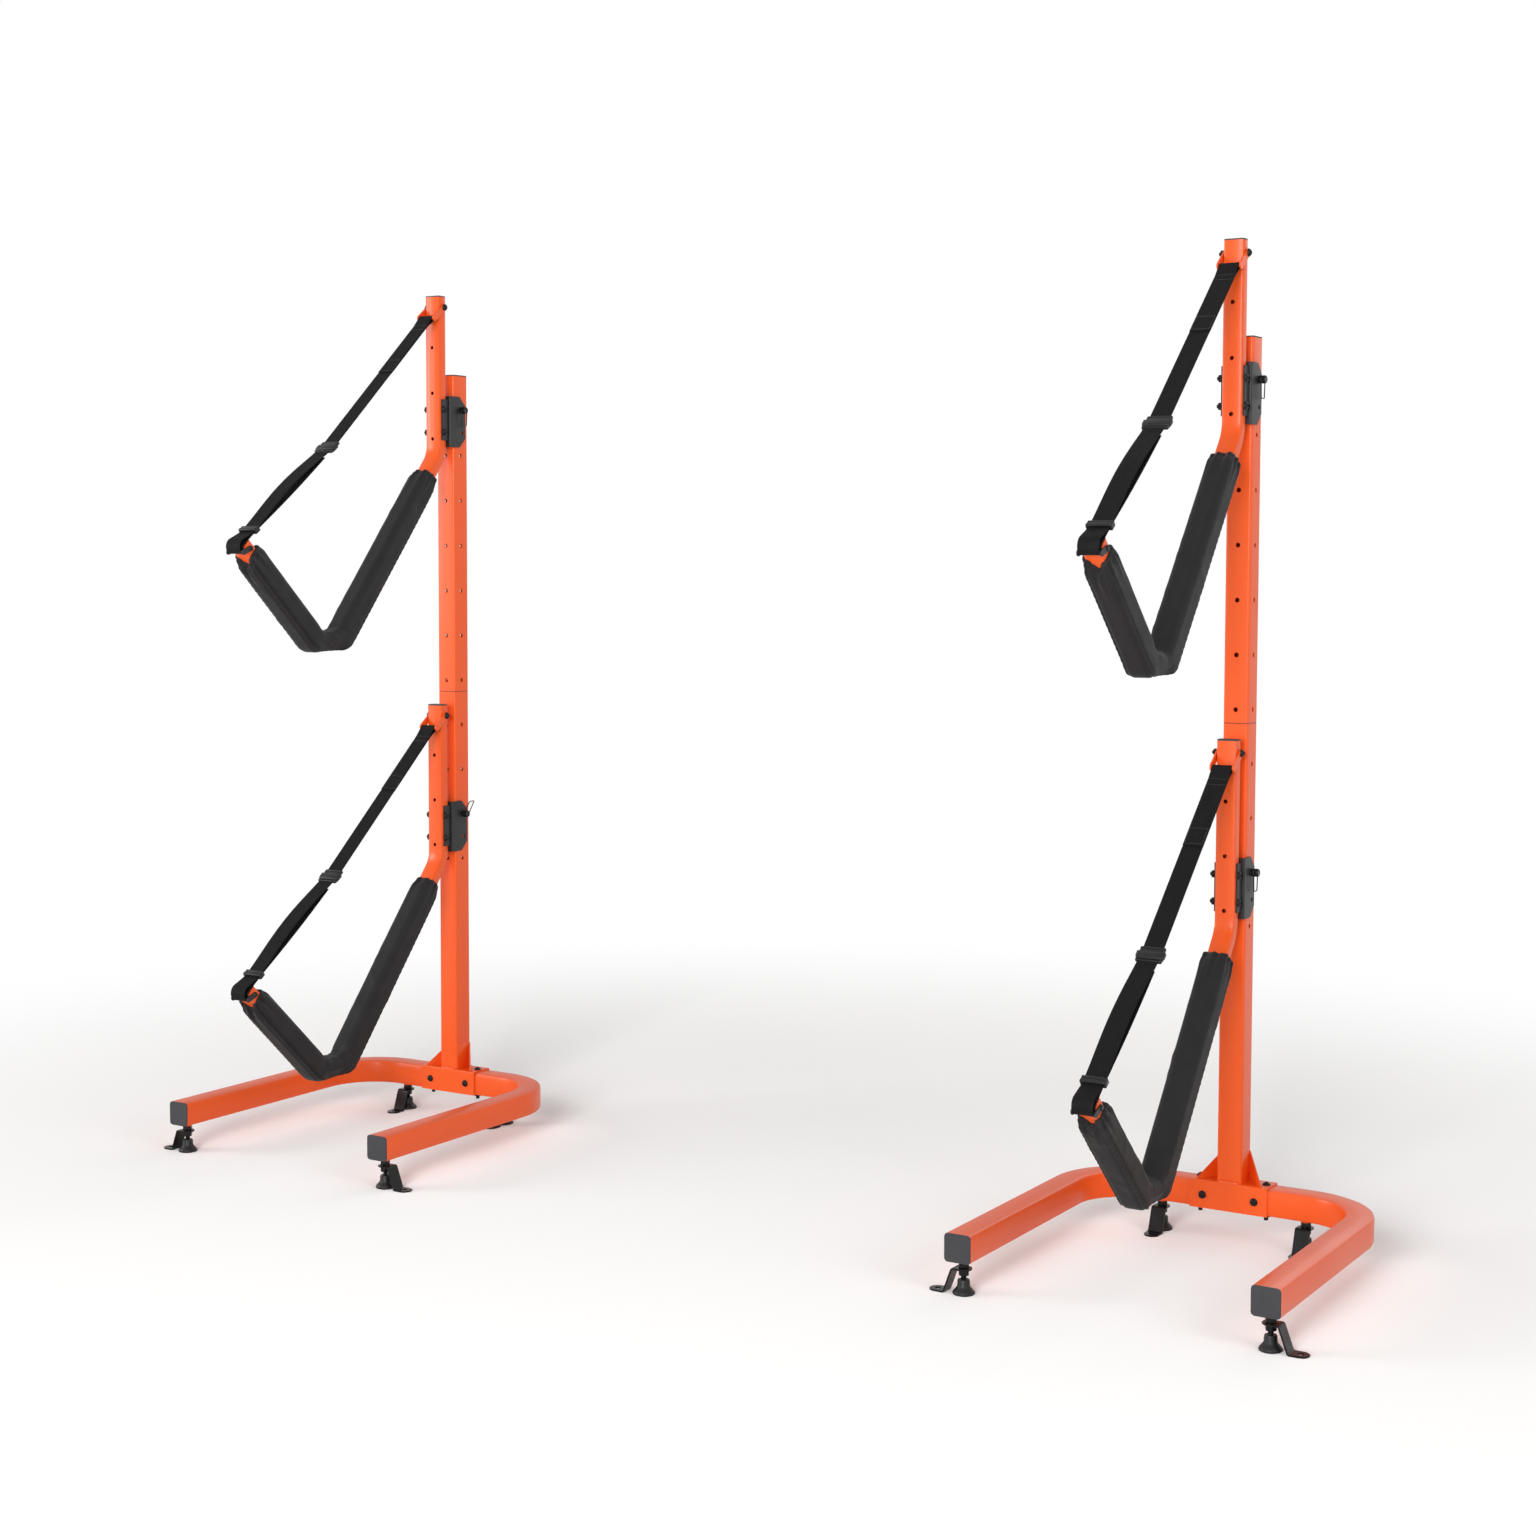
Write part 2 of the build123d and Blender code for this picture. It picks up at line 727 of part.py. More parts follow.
# Wire bail, hanging from the knob.
bail_half = bail_width / 2
with BuildPart() as pin_bail:
    with BuildLine() as bail_path:
        FilletPolyline(
            (bail_x, -3.5, 0),
            (bail_x, -bail_half, 0),
            (bail_x, -bail_half + 2.5, -bail_length),
            (bail_x, bail_half - 2.5, -bail_length),
            (bail_x, bail_half, 0),
            (bail_x, 3.5, 0),
            radius=2.4,
        )
    with BuildSketch(Plane(origin=(bail_x, -3.5, 0), z_dir=(0, -1, 0))):
        RegularPolygon(wire_size / 2, 8)
    sweep()

# Shackle that carries the strap.
shackle_plane = Plane(
    origin=(0, shackle_y, shackle_z),
    x_dir=(0, -cos(radians(shackle_fall)), -sin(radians(shackle_fall))),
    z_dir=(1, 0, 0),
)
with BuildPart() as strap_shackle:
    for low in (-shackle_half, shackle_half - shackle_plate):
        with BuildSketch(shackle_plane.offset(low)):
            with Locations((shackle_reach / 2, 0)):
                SlotCenterToCenter(shackle_reach, shackle_width)
        extrude(amount=shackle_plate)
    with BuildSketch(shackle_plane.offset(-shackle_half)):
        with Locations((shackle_reach, 0)):
            Circle(bar_size / 2)
    extrude(amount=2 * shackle_half)
    with BuildSketch(shackle_plane.offset(-shackle_half)):
        Circle(bolt_size / 2 + bolt_fit)
    extrude(amount=2 * shackle_half, mode=Mode.SUBTRACT)

# Webbing: a loop on the shackle's bar, then down to the buckle.
run_y = buckle_y - bar_y
run_z = buckle_z - bar_z
run = sqrt(run_y**2 + run_z**2)
upper_turn = degrees(atan2(run_z, run_y))
upper_plane = Plane(
    origin=(-web_width / 2, bar_y, bar_z),
    x_dir=(0, run_y / run, run_z / run),
    z_dir=(1, 0, 0),
)
loop_in = bar_size / 2 + sleeve_fit
with BuildPart() as upper_web:
    with BuildSketch(upper_plane):
        Circle(loop_in + web_thick)
        with Locations((0, 0)):
            Rectangle(doubled_length, 2 * web_thick, align=(Align.MIN, Align.CENTER))
        Polygon(
            (0, loop_in + web_thick),
            (26, web_thick),
            (26, -web_thick),
            (0, -loop_in - web_thick),
            align=None,
        )
        Circle(loop_in, mode=Mode.SUBTRACT)
        Polygon(
            (0, loop_in),
            (22, 0.2),
            (22, -0.2),
            (0, -loop_in),
            align=None,
            mode=Mode.SUBTRACT,
        )
        with Locations((doubled_length - 1, 0)):
            Rectangle(
                run - buckle_length / 2 - doubled_length + 0.4,
                web_thick,
                align=(Align.MIN, Align.CENTER),
            )
    extrude(amount=web_width)

# Webbing from the buckle through the slide, then over the arm's tip.
low_y = slide_y - buckle_y
low_z = slide_z - buckle_z
low_run = sqrt(low_y**2 + low_z**2)
low_dir = (low_y / low_run, low_z / low_run)
lower_start = (
    buckle_y + low_dir[0] * (buckle_length / 2 + 0.6),
    buckle_z + low_dir[1] * (buckle_length / 2 + 0.6),
)
slide_end = (slide_y + low_dir[0] * 3, slide_z + low_dir[1] * 3)
layer = web_thick / 2
turn_radius = tip_bar / 2 + sleeve_fit + layer
loop_line = [
    (slide_end[0] - low_dir[1] * layer, slide_end[1] + low_dir[0] * layer),
    tip_point(4.6, 8.5),
    tip_point(1.9, 13.9),
]
for degree in range(0, 181, 30):
    loop_line.append(
        tip_point(
            tip_bar_along - turn_radius * sin(radians(degree)),
            tip_bar_across - turn_radius * cos(radians(degree)),
        )
    )
loop_line += [
    tip_point(7.5, 20),
    tip_point(13, 12.5),
    tip_point(15, 4),
    (slide_end[0] + low_dir[1] * layer, slide_end[1] - low_dir[0] * layer),
]
with BuildPart() as lower_web:
    with BuildSketch(Plane.YZ.offset(-web_width / 2)):
        Polygon(*ribbon([lower_start, slide_end], 2 * web_thick), align=None)
        Polygon(*ribbon(loop_line, web_thick), align=None)
    extrude(amount=web_width)

# Buckle and slide on the webbing.
buckle_dir = ((run_y / run + low_dir[0]) / 2, (run_z / run + low_dir[1]) / 2)
buckle_size = sqrt(buckle_dir[0] ** 2 + buckle_dir[1] ** 2)
buckle_plane = Plane(
    origin=(-buckle_width / 2, buckle_y, buckle_z),
    x_dir=(0, buckle_dir[0] / buckle_size, buckle_dir[1] / buckle_size),
    z_dir=(1, 0, 0),
)
slide_plane = Plane(
    origin=(-slide_width / 2, slide_y, slide_z),
    x_dir=(0, low_dir[0], low_dir[1]),
    z_dir=(1, 0, 0),
)
slot_half = web_width / 2 + sleeve_fit
with BuildPart() as strap_buckle:
    with BuildSketch(buckle_plane):
        RectangleRounded(buckle_length, buckle_thick, 3)
    extrude(amount=buckle_width)
with BuildPart() as strap_slide:
    with BuildSketch(slide_plane):
        with Locations((-slide_length / 2, 0)):
            RectangleRounded(slide_length, slide_thick, 2)
    extrude(amount=slide_width)
    with BuildSketch(slide_plane.offset(slide_width / 2 - slot_half)):
        with Locations((-slide_length / 2, 0)):
            Rectangle(slide_length + 2, 2 * web_thick + 2 * sleeve_fit)
    extrude(amount=2 * slot_half, mode=Mode.SUBTRACT)

# Padded sleeve over the cradle, drawn in where its two ends are gathered.
full_start = sleeve_start + gather_length
full_stop = tip_run - sleeve_stop - gather_length


def rear_plane(distance):
    """Plane across the rear leg, at a distance from the knee."""
    return Plane(
        origin=(0, arm_y + rear_dir[0] * distance, knee_z + rear_dir[1] * distance),
        x_dir=(1, 0, 0),
        z_dir=(0, rear_dir[0], rear_dir[1]),
    )


def front_plane(distance):
    """Plane across the front leg, at a distance from the toe."""
    return Plane(
        origin=(0, toe_y + tip_dir[0] * distance, floor_z + tip_dir[1] * distance),
        x_dir=(1, 0, 0),
        z_dir=(0, tip_dir[0], tip_dir[1]),
    )


with BuildPart() as pad_sleeve:
    with BuildLine() as sleeve_path:
        FilletPolyline(
            rear_plane(full_start).origin,
            (0, heel_y, floor_z),
            (0, toe_y, floor_z),
            front_plane(full_stop).origin,
            radius=arm_bend,
        )
    with BuildSketch(rear_plane(full_start)):
        Polygon(*section(sleeve_width, sleeve_depth, sleeve_corner), align=None)
    sweep()
    with BuildSketch(rear_plane(sleeve_start)):
        Polygon(*section(gather_width, gather_depth, gather_corner), align=None)
    with BuildSketch(rear_plane(full_start)):
        Polygon(*section(sleeve_width, sleeve_depth, sleeve_corner), align=None)
    loft()
    with BuildSketch(front_plane(full_stop)):
        Polygon(*section(sleeve_width, sleeve_depth, sleeve_corner), align=None)
    with BuildSketch(front_plane(full_stop + gather_length)):
        Polygon(*section(gather_width, gather_depth, gather_corner), align=None)
    loft()
    with BuildLine() as bore_path:
        FilletPolyline(
            rear_plane(sleeve_start - 1).origin,
            (0, heel_y, floor_z),
            (0, toe_y, floor_z),
            front_plane(full_stop + gather_length + 1).origin,
            radius=arm_bend,
        )
    with BuildSketch(rear_plane(sleeve_start - 1)):
        Polygon(
            *section(
                arm_width + 2 * sleeve_fit, arm_depth + 2 * sleeve_fit, arm_corner + sleeve_fit
            ),
            align=None,
        )
    sweep(mode=Mode.SUBTRACT)

# Set every drawing down at its places.
stand_pieces = {
    "base_tube": base_tube.part,
    "leg_caps": leg_caps.part,
    "lower_post": lower_post.part,
    "upper_post": upper_post.part,
    "post_spigot": post_spigot.part,
    "top_caps": top_caps.part,
    "base_bolts": base_bolts.part,
    "base_nuts": base_nuts.part,
}
arm_pieces = {
    "arm_tube": [arm_tube.part],
    "post_bracket": [post_bracket.part, bracket_pad.part, tip_bracket.part],
    "arm_bolts": [arm_bolts.part],
    "locking_pin": [locking_pin.part],
    "pin_bail": [pin_bail.part],
    "strap_shackle": [strap_shackle.part],
    "strap_webbing": [upper_web.part, lower_web.part],
    "strap_buckles": [strap_buckle.part, strap_slide.part],
    "pad_sleeve": [pad_sleeve.part],
}
foot_pieces = [
    foot_stud.part,
    foot_nut.part,
    foot_lock_nut.part,
    foot_plate.part,
    foot_cone.part,
]
bail_turn = Location((0, 0, 0), (0, -150, 0))
raised_bail = Location((bail_x, 0, 0)) * bail_turn * Location((-bail_x, 0, 0))


def set_down(name, pieces, place):
    """Write one STEP file of the given solids, moved to their place."""
    solids = []
    for piece in pieces:
        for solid in piece.solids():
            solids.append(solid.moved(place))
    shape = solids[0]
    if len(solids) > 1:
        shape = Compound(children=solids)
    shape.label = name
    export_step(shape, f"parts/{name}.step")


for side, stand_x in (("left", -stand_spacing / 2), ("right", stand_spacing / 2)):
    for name, piece in stand_pieces.items():
        set_down(f"{side}_{name}", [piece], Location((stand_x, post_y, 0)))
    for place_name, (x, y, turn) in feet_places.items():
        place = Location((stand_x + x, post_y + y, 0), (0, 0, turn))
        set_down(f"{side}_foot_{place_name}", foot_pieces, place)
    for level, pin in (("lower", lower_pin), ("upper", upper_pin)):
        for name, pieces in arm_pieces.items():
            place = Location((stand_x, post_y, pin))
            if name == "pin_bail" and side == "left" and level == "lower":
                place = place * raised_bail
            set_down(f"{side}_{level}_{name}", pieces, place)
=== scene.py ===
"""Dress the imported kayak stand: finishes, padded sleeves, webbing, buckles, studio and camera.

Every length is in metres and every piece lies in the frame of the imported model. A length or a
place on an arm is given in the arm's own plane, as a pair (y, z) measured from its locking pin,
with y growing towards the post's back and z growing upwards.
"""

import logging
import math
from dataclasses import dataclass, field
from enum import Enum
from typing import Any

import bmesh
import bpy
import numpy as np
from mathutils import Matrix, Vector


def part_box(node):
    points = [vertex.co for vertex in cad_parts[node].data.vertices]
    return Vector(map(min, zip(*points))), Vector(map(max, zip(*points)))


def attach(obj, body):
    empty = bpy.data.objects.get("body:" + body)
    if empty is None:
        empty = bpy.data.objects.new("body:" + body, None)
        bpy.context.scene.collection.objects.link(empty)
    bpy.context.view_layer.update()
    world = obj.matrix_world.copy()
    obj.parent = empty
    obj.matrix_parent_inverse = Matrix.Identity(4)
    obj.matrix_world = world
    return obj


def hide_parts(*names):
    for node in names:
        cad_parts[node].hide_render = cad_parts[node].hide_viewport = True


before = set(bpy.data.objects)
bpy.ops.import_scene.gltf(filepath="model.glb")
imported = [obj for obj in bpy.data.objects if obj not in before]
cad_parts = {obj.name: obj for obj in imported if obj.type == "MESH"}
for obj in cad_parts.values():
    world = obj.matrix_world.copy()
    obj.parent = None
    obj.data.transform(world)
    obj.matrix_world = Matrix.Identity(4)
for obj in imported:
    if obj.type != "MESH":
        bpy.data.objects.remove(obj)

LOG = logging.getLogger("kayak_stand")
Array = np.ndarray


class Side(Enum):
    """The two stands, seen from the front."""

    LEFT = "left"
    RIGHT = "right"


class Level(Enum):
    """The two cradles of a stand."""

    LOWER = "lower"
    UPPER = "upper"


class Place(Enum):
    """The four feet of a stand."""

    FRONT_LEFT = "front_left"
    FRONT_RIGHT = "front_right"
    REAR_LEFT = "rear_left"
    REAR_RIGHT = "rear_right"

    @property
    def way(self) -> tuple[float, float]:
        """Direction in which the floor plate points."""
        sides = {Place.FRONT_LEFT: (-1.0, 0.0), Place.FRONT_RIGHT: (1.0, 0.0)}
        return sides.get(self, (0.0, -1.0))


# Colours and nodes


def linear(code: str) -> tuple[float, float, float, float]:
    """Turn an sRGB hex colour into linear light.

    Args:
        code: Six hex digits after a hash sign.

    Returns:
        Linear red, green and blue, with an alpha of 1.
    """
    raw = np.array([int(code[i : i + 2], 16) / 255 for i in (1, 3, 5)])
    value = np.where(raw <= 0.04045, raw / 12.92, ((raw + 0.055) / 1.055) ** 2.4)
    return (float(value[0]), float(value[1]), float(value[2]), 1.0)


def add_node(
    tree: bpy.types.NodeTree,
    kind: str,
    settings: dict[str, Any] | None = None,
    feeds: dict[str | int, Any] | None = None,
) -> bpy.types.Node:
    """Add one node with its settings and its inputs.

    Args:
        tree: Node tree that gets the node.
        kind: Blender's name of the node type.
        settings: Attribute names and their values.
        feeds: Input names or numbers, each with a value or with the socket that feeds it.

    Returns:
        The new node.
    """
    node = tree.nodes.new(kind)
    for name, value in (settings or {}).items():
        setattr(node, name, value)
    for name, value in (feeds or {}).items():
        if isinstance(value, bpy.types.NodeSocket):
            tree.links.new(value, node.inputs[name])
        else:
            node.inputs[name].default_value = value
    return node


# Finishes


@dataclass(frozen=True)
class Finish:
    """A surface as it was made, with what all the finishes share."""

    name: str
    colour: str
    shade: str
    roughness: float
    metallic: float = 0.0
    coat: float = 0.0
    sheen: float = 0.0
    specular: float = 0.35

    def start(self) -> tuple[bpy.types.Material, bpy.types.NodeTree, bpy.types.Node]:
        """Make an empty material with its shader.

        Returns:
            The material, its node tree and its principled shader.
        """
        material = bpy.data.materials.new(self.name)
        material.use_nodes = True
        material.diffuse_color = linear(self.colour)
        tree = material.node_tree
        tree.nodes.clear()
        shader = add_node(
            tree,
            "ShaderNodeBsdfPrincipled",
            feeds={
                "Metallic": self.metallic,
                "Specular IOR Level": self.specular,
                "Coat Weight": self.coat,
                "Coat Roughness": 0.16,
                "Sheen Weight": self.sheen,
                "Sheen Roughness": 0.45,
            },
        )
        add_node(tree, "ShaderNodeOutputMaterial", feeds={"Surface": shader.outputs[0]})
        return material, tree, shader

    def mottle(
        self, tree: bpy.types.NodeTree, shader: bpy.types.Node, scale: float, spread: float
    ) -> bpy.types.NodeSocket:
        """Vary the colour and the roughness with soft noise in object space.

        Args:
            tree: The material's node tree.
            shader: Its principled shader.
            scale: Patches to the metre.
            spread: How far the roughness strays on each side.

        Returns:
            The colour's socket, which already feeds the shader.
        """
        place = add_node(tree, "ShaderNodeTexCoord")
        noise = add_node(
            tree,
            "ShaderNodeTexNoise",
            feeds={"Vector": place.outputs["Object"], "Scale": scale, "Detail": 4.0},
        )
        colour = add_node(
            tree,
            "ShaderNodeMix",
            {"data_type": "RGBA"},
            {0: noise.outputs[0], 6: linear(self.colour), 7: linear(self.shade)},
        )
        rough = add_node(
            tree,
            "ShaderNodeMapRange",
            feeds={
                "Value": noise.outputs[0],
                "From Min": 0.3,
                "From Max": 0.7,
                "To Min": self.roughness - spread,
                "To Max": self.roughness + spread,
            },
        )
        tree.links.new(colour.outputs[2], shader.inputs["Base Color"])
        tree.links.new(rough.outputs[0], shader.inputs["Roughness"])
        return colour.outputs[2]

    def grain(
        self, tree: bpy.types.NodeTree, shader: bpy.types.Node, size: float, depth: float
    ) -> None:
        """Give the surface a fine noise relief.

        Args:
            tree: The material's node tree.
            shader: Its principled shader.
            size: Width of one grain.
            depth: Height of one grain.
        """
        place = add_node(tree, "ShaderNodeTexCoord")
        noise = add_node(
            tree,
            "ShaderNodeTexNoise",
            feeds={"Vector": place.outputs["Object"], "Scale": 1 / size, "Detail": 2.0},
        )
        relief = add_node(
            tree,
            "ShaderNodeBump",
            feeds={"Height": noise.outputs[0], "Strength": 0.5, "Distance": depth},
        )
        tree.links.new(relief.outputs[0], shader.inputs["Normal"])


@dataclass(frozen=True)
class PowderCoat(Finish):
    """Polyester powder baked on steel: even colour, satin gloss and a faint orange peel."""

    peel: float = 0.0016
    # Height of a painted shadow line where the two posts meet; 0 draws none.
    seam: float = 0.0

    def build(self) -> bpy.types.Material:
        """Build the coat. A seam height above 0 draws a painted shadow line where the posts meet."""
        material, tree, shader = self.start()
        colour = self.mottle(tree, shader, 5.0, 0.04)
        self.grain(tree, shader, self.peel, 0.00005)
        # A dark band 1.6 mm tall at the seam height: painted shadow of the gap between the posts.
        if self.seam > 0:
            place = add_node(tree, "ShaderNodeTexCoord")
            split = add_node(
                tree, "ShaderNodeSeparateXYZ", feeds={0: place.outputs["Object"]}
            )
            near = add_node(
                tree,
                "ShaderNodeMath",
                {"operation": "COMPARE"},
                {0: split.outputs[2], 1: self.seam, 2: 0.0008},
            )
            painted_gap_shadow = add_node(
                tree,
                "ShaderNodeMix",
                {"data_type": "RGBA"},
                {0: near.outputs[0], 6: colour, 7: linear("#7A2408")},
            )
            tree.links.new(painted_gap_shadow.outputs[2], shader.inputs["Base Color"])
        return material


@dataclass(frozen=True)
class BlackSteel(Finish):
    """Steel blackened in a hot oxide bath: nearly black, with a low oily gloss."""

    def build(self) -> bpy.types.Material:
        """Build the blackened steel."""
        material, tree, shader = self.start()
        self.mottle(tree, shader, 60.0, 0.08)
        self.grain(tree, shader, 0.0009, 0.00004)
        return material


@dataclass(frozen=True)
class MouldedPlastic(Finish):
    """Injection-moulded nylon or acetal: a fine spark-eroded grain and a soft gloss."""

    texture: float = 0.0011

    def build(self) -> bpy.types.Material:
        """Build the moulded plastic."""
        material, tree, shader = self.start()
        self.mottle(tree, shader, 25.0, 0.05)
        self.grain(tree, shader, self.texture, 0.00008)
        return material


@dataclass(frozen=True)
class MouldedRubber(Finish):
    """Moulded rubber: dull, nearly black, with a faint bloom in patches."""

    def build(self) -> bpy.types.Material:
        """Build the moulded rubber."""
        material, tree, shader = self.start()
        self.mottle(tree, shader, 45.0, 0.06)
        self.grain(tree, shader, 0.0014, 0.00008)
        return material


@dataclass(frozen=True)
class WovenWebbing(Finish):
    """Flat polyester webbing: cross ribs between two firm selvedges.

    A real rib is about 1.6 mm wide. It is drawn at twice that, because it would not show.
    """

    rib: float = 0.0032
    half_width: float = 0.019

    def build(self) -> bpy.types.Material:
        """Build the webbing on the band's own UV map, which is in metres."""
        material, tree, shader = self.start()
        colour = self.mottle(tree, shader, 70.0, 0.05)
        flat = add_node(tree, "ShaderNodeUVMap", {"uv_map": "flat"})
        ribs = add_node(
            tree,
            "ShaderNodeTexWave",
            {"bands_direction": "Y"},
            {"Vector": flat.outputs[0], "Scale": math.tau / 20 / self.rib},
        )
        cords = add_node(
            tree,
            "ShaderNodeTexWave",
            {"bands_direction": "X"},
            {"Vector": flat.outputs[0], "Scale": math.tau / 20 / (self.rib * 1.5)},
        )
        height = add_node(
            tree,
            "ShaderNodeMath",
            {"operation": "MULTIPLY_ADD"},
            {0: cords.outputs[1], 1: 0.5, 2: ribs.outputs[1]},
        )
        relief = add_node(
            tree,
            "ShaderNodeBump",
            feeds={"Height": height.outputs[0], "Strength": 0.6, "Distance": 0.0003},
        )
        dark = add_node(
            tree,
            "ShaderNodeMix",
            {"data_type": "RGBA", "blend_type": "MULTIPLY"},
            {0: ribs.outputs[1], 6: colour, 7: linear("#A8A6A8")},
        )
        tree.links.new(dark.outputs[2], shader.inputs["Base Color"])
        tree.links.new(relief.outputs[0], shader.inputs["Normal"])
        return material


@dataclass(frozen=True)
class SleeveCloth(Finish):
    """Woven nylon over foam: a plain weave with a soft sheen and dark sewn seams.

    A real thread lies every 0.6 mm. The weave is drawn at four times that, because it would
    not show.
    """

    thread: float = 0.0024

    def build(self) -> bpy.types.Material:
        """Build the cloth on the sleeve's UV map, which is in metres."""
        material, tree, shader = self.start()
        colour = self.mottle(tree, shader, 22.0, 0.05)
        flat = add_node(tree, "ShaderNodeUVMap", {"uv_map": "flat"})
        waves = [
            add_node(
                tree,
                "ShaderNodeTexWave",
                {"bands_direction": way},
                {"Vector": flat.outputs[0], "Scale": math.tau / 20 / self.thread},
            )
            for way in ("X", "Y")
        ]
        weave = add_node(
            tree,
            "ShaderNodeMath",
            {"operation": "MULTIPLY"},
            {0: waves[0].outputs[1], 1: waves[1].outputs[1]},
        )
        relief = add_node(
            tree,
            "ShaderNodeBump",
            feeds={"Height": weave.outputs[0], "Strength": 0.5, "Distance": 0.0002},
        )
        sewn = add_node(tree, "ShaderNodeAttribute", {"attribute_name": "seam"})
        dark = add_node(
            tree,
            "ShaderNodeMix",
            {"data_type": "RGBA"},
            {0: sewn.outputs["Fac"], 6: colour, 7: linear("#070607")},
        )
        tree.links.new(dark.outputs[2], shader.inputs["Base Color"])
        tree.links.new(relief.outputs[0], shader.inputs["Normal"])
        return material


ORANGE = PowderCoat("orange_powder_coat", "#F05C16", "#E85210", 0.40, coat=0.15)
# The posts' coat, with a painted shadow line at the height where the posts meet.
ORANGE_POST = PowderCoat(
    "orange_powder_coat_posts", "#F05C16", "#E85210", 0.40, coat=0.15, seam=0.965
)
BLACK_COAT = PowderCoat("black_powder_coat", "#232326", "#1C1C1F", 0.44, coat=0.1)
STEEL = BlackSteel("black_oxide_steel", "#1C1C1E", "#141415", 0.32, metallic=0.35)
CAP = MouldedPlastic("black_cap_nylon", "#444447", "#3A3A3D", 0.56, specular=0.25)
ACETAL = MouldedPlastic("black_buckle_acetal", "#1E1E20", "#18181A", 0.34, texture=0.0016)
RUBBER = MouldedRubber("black_rubber", "#1F1E20", "#171618", 0.46)
WEBBING = WovenWebbing("woven_webbing", "#1A181A", "#151415", 0.70, specular=0.15)
CLOTH = SleeveCloth(
    "sleeve_nylon", "#222022", "#1A191A", 0.66, sheen=0.05, specular=0.25
)
THREAD = MouldedPlastic("bonded_thread", "#454446", "#3A393B", 0.6, sheen=0.2)


class Paintbox:
    """The built materials, one for each finish."""

    def __init__(self) -> None:
        """Start with no material built."""
        self._made: dict[str, bpy.types.Material] = {}

    def get(self, finish: Finish) -> bpy.types.Material:
        """Return the finish's material, built once."""
        if finish.name not in self._made:
            self._made[finish.name] = finish.build()
        return self._made[finish.name]


PAINT = Paintbox()


# Surfaces


@dataclass
class Skin:
    """Grids of points gathered into one mesh."""

    points: list[Array] = field(default_factory=list)
    quads: list[Array] = field(default_factory=list)
    flats: list[Array] = field(default_factory=list)
    seams: list[Array] = field(default_factory=list)
    count: int = 0

    def grid(
        self,
        points: Array,
        wrap_u: bool = False,
        wrap_v: bool = False,
        flat: Array | None = None,
        seam: Array | None = None,
    ) -> None:
        """Add a grid of quads.

        Args:
            points: Array of rows by columns by 3.
            wrap_u: Whether the last row meets the first.
            wrap_v: Whether the last column meets the first.
            flat: Array of rows by columns by 2 for the UV map, in metres.
            seam: Array of rows by columns, from 0 away from a seam to 1 on it.
        """
        rows, columns = points.shape[:2]
        ids = np.arange(rows * columns).reshape(rows, columns) + self.count
        row = np.arange(rows if wrap_u else rows - 1)
        column = np.arange(columns if wrap_v else columns - 1)
        r, c = np.meshgrid(row, column, indexing="ij")
        r1, c1 = (r + 1) % rows, (c + 1) % columns
        quads = np.stack([ids[r, c], ids[r1, c], ids[r1, c1], ids[r, c1]], -1)
        self.points.append(points.reshape(-1, 3))
        self.quads.append(quads.reshape(-1, 4))
        self.seams.append(np.zeros(rows * columns) if seam is None else seam.ravel())
        if flat is None:
            flat = np.zeros((rows, columns, 2))
        step = flat[:, -1:] + (flat[:, -1:] - flat[:, -2:-1])
        wide = np.concatenate([flat, step], axis=1)
        tall = np.concatenate([wide, wide[-1:] + (wide[-1:] - wide[-2:-1])], axis=0)
        corner = np.stack([tall[r, c], tall[r + 1, c], tall[r + 1, c + 1], tall[r, c + 1]], -2)
        self.flats.append(corner.reshape(-1, 2))
        self.count += rows * columns

    def piece(
        self, name: str, finish: Finish, body: str, angle: float = 40.0
    ) -> bpy.types.Object:
        """Turn what was gathered into a finished piece on a body.

        Args:
            name: Name of the piece.
            finish: Its finish.
            body: The body that it rides on.
            angle: Edges sharper than this many degrees stay sharp.

        Returns:
            The new object.
        """
        mesh = bpy.data.meshes.new(name)
        mesh.from_pydata(
            np.concatenate(self.points).tolist(), [], np.concatenate(self.quads).tolist()
        )
        layer = mesh.uv_layers.new(name="flat")
        layer.uv.foreach_set("vector", np.concatenate(self.flats).astype(np.float32).ravel())
        seams = mesh.attributes.new("seam", "FLOAT", "POINT")
        seams.data.foreach_set("value", np.concatenate(self.seams).astype(np.float32))
        work = bmesh.new()
        work.from_mesh(mesh)
        bmesh.ops.remove_doubles(work, verts=work.verts, dist=1e-6)
        bmesh.ops.recalc_face_normals(work, faces=work.faces)
        work.to_mesh(mesh)
        work.free()
        mesh.polygons.foreach_set("use_smooth", np.ones(len(mesh.polygons), dtype=bool))
        mesh.set_sharp_from_angle(angle=math.radians(angle))
        mesh.materials.append(PAINT.get(finish))
        thing = bpy.data.objects.new(name, mesh)
        bpy.context.scene.collection.objects.link(thing)
        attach(thing, body)
        LOG.info("%s: %d faces", name, len(mesh.polygons))
        return thing


def even(line: Array, spacing: float) -> Array:
    """Resample a line at even steps along its length.

    Args:
        line: Array of points by dimensions.
        spacing: Wished distance between two points.

    Returns:
        The same line, as evenly spaced points.
    """
    run = np.concatenate([[0.0], np.cumsum(np.linalg.norm(np.diff(line, axis=0), axis=1))])
    marks = np.linspace(0, run[-1], max(int(round(run[-1] / spacing)), 2) + 1)
    return np.stack([np.interp(marks, run, line[:, k]) for k in range(line.shape[1])], -1)


def smooth(line: Array, passes: int) -> Array:
    """Round a line off: each pass moves a point halfway to the mean of its neighbours."""
    line = line.copy()
    for _ in range(passes):
        line[1:-1] = (line[:-2] + 2 * line[1:-1] + line[2:]) / 4
    return line


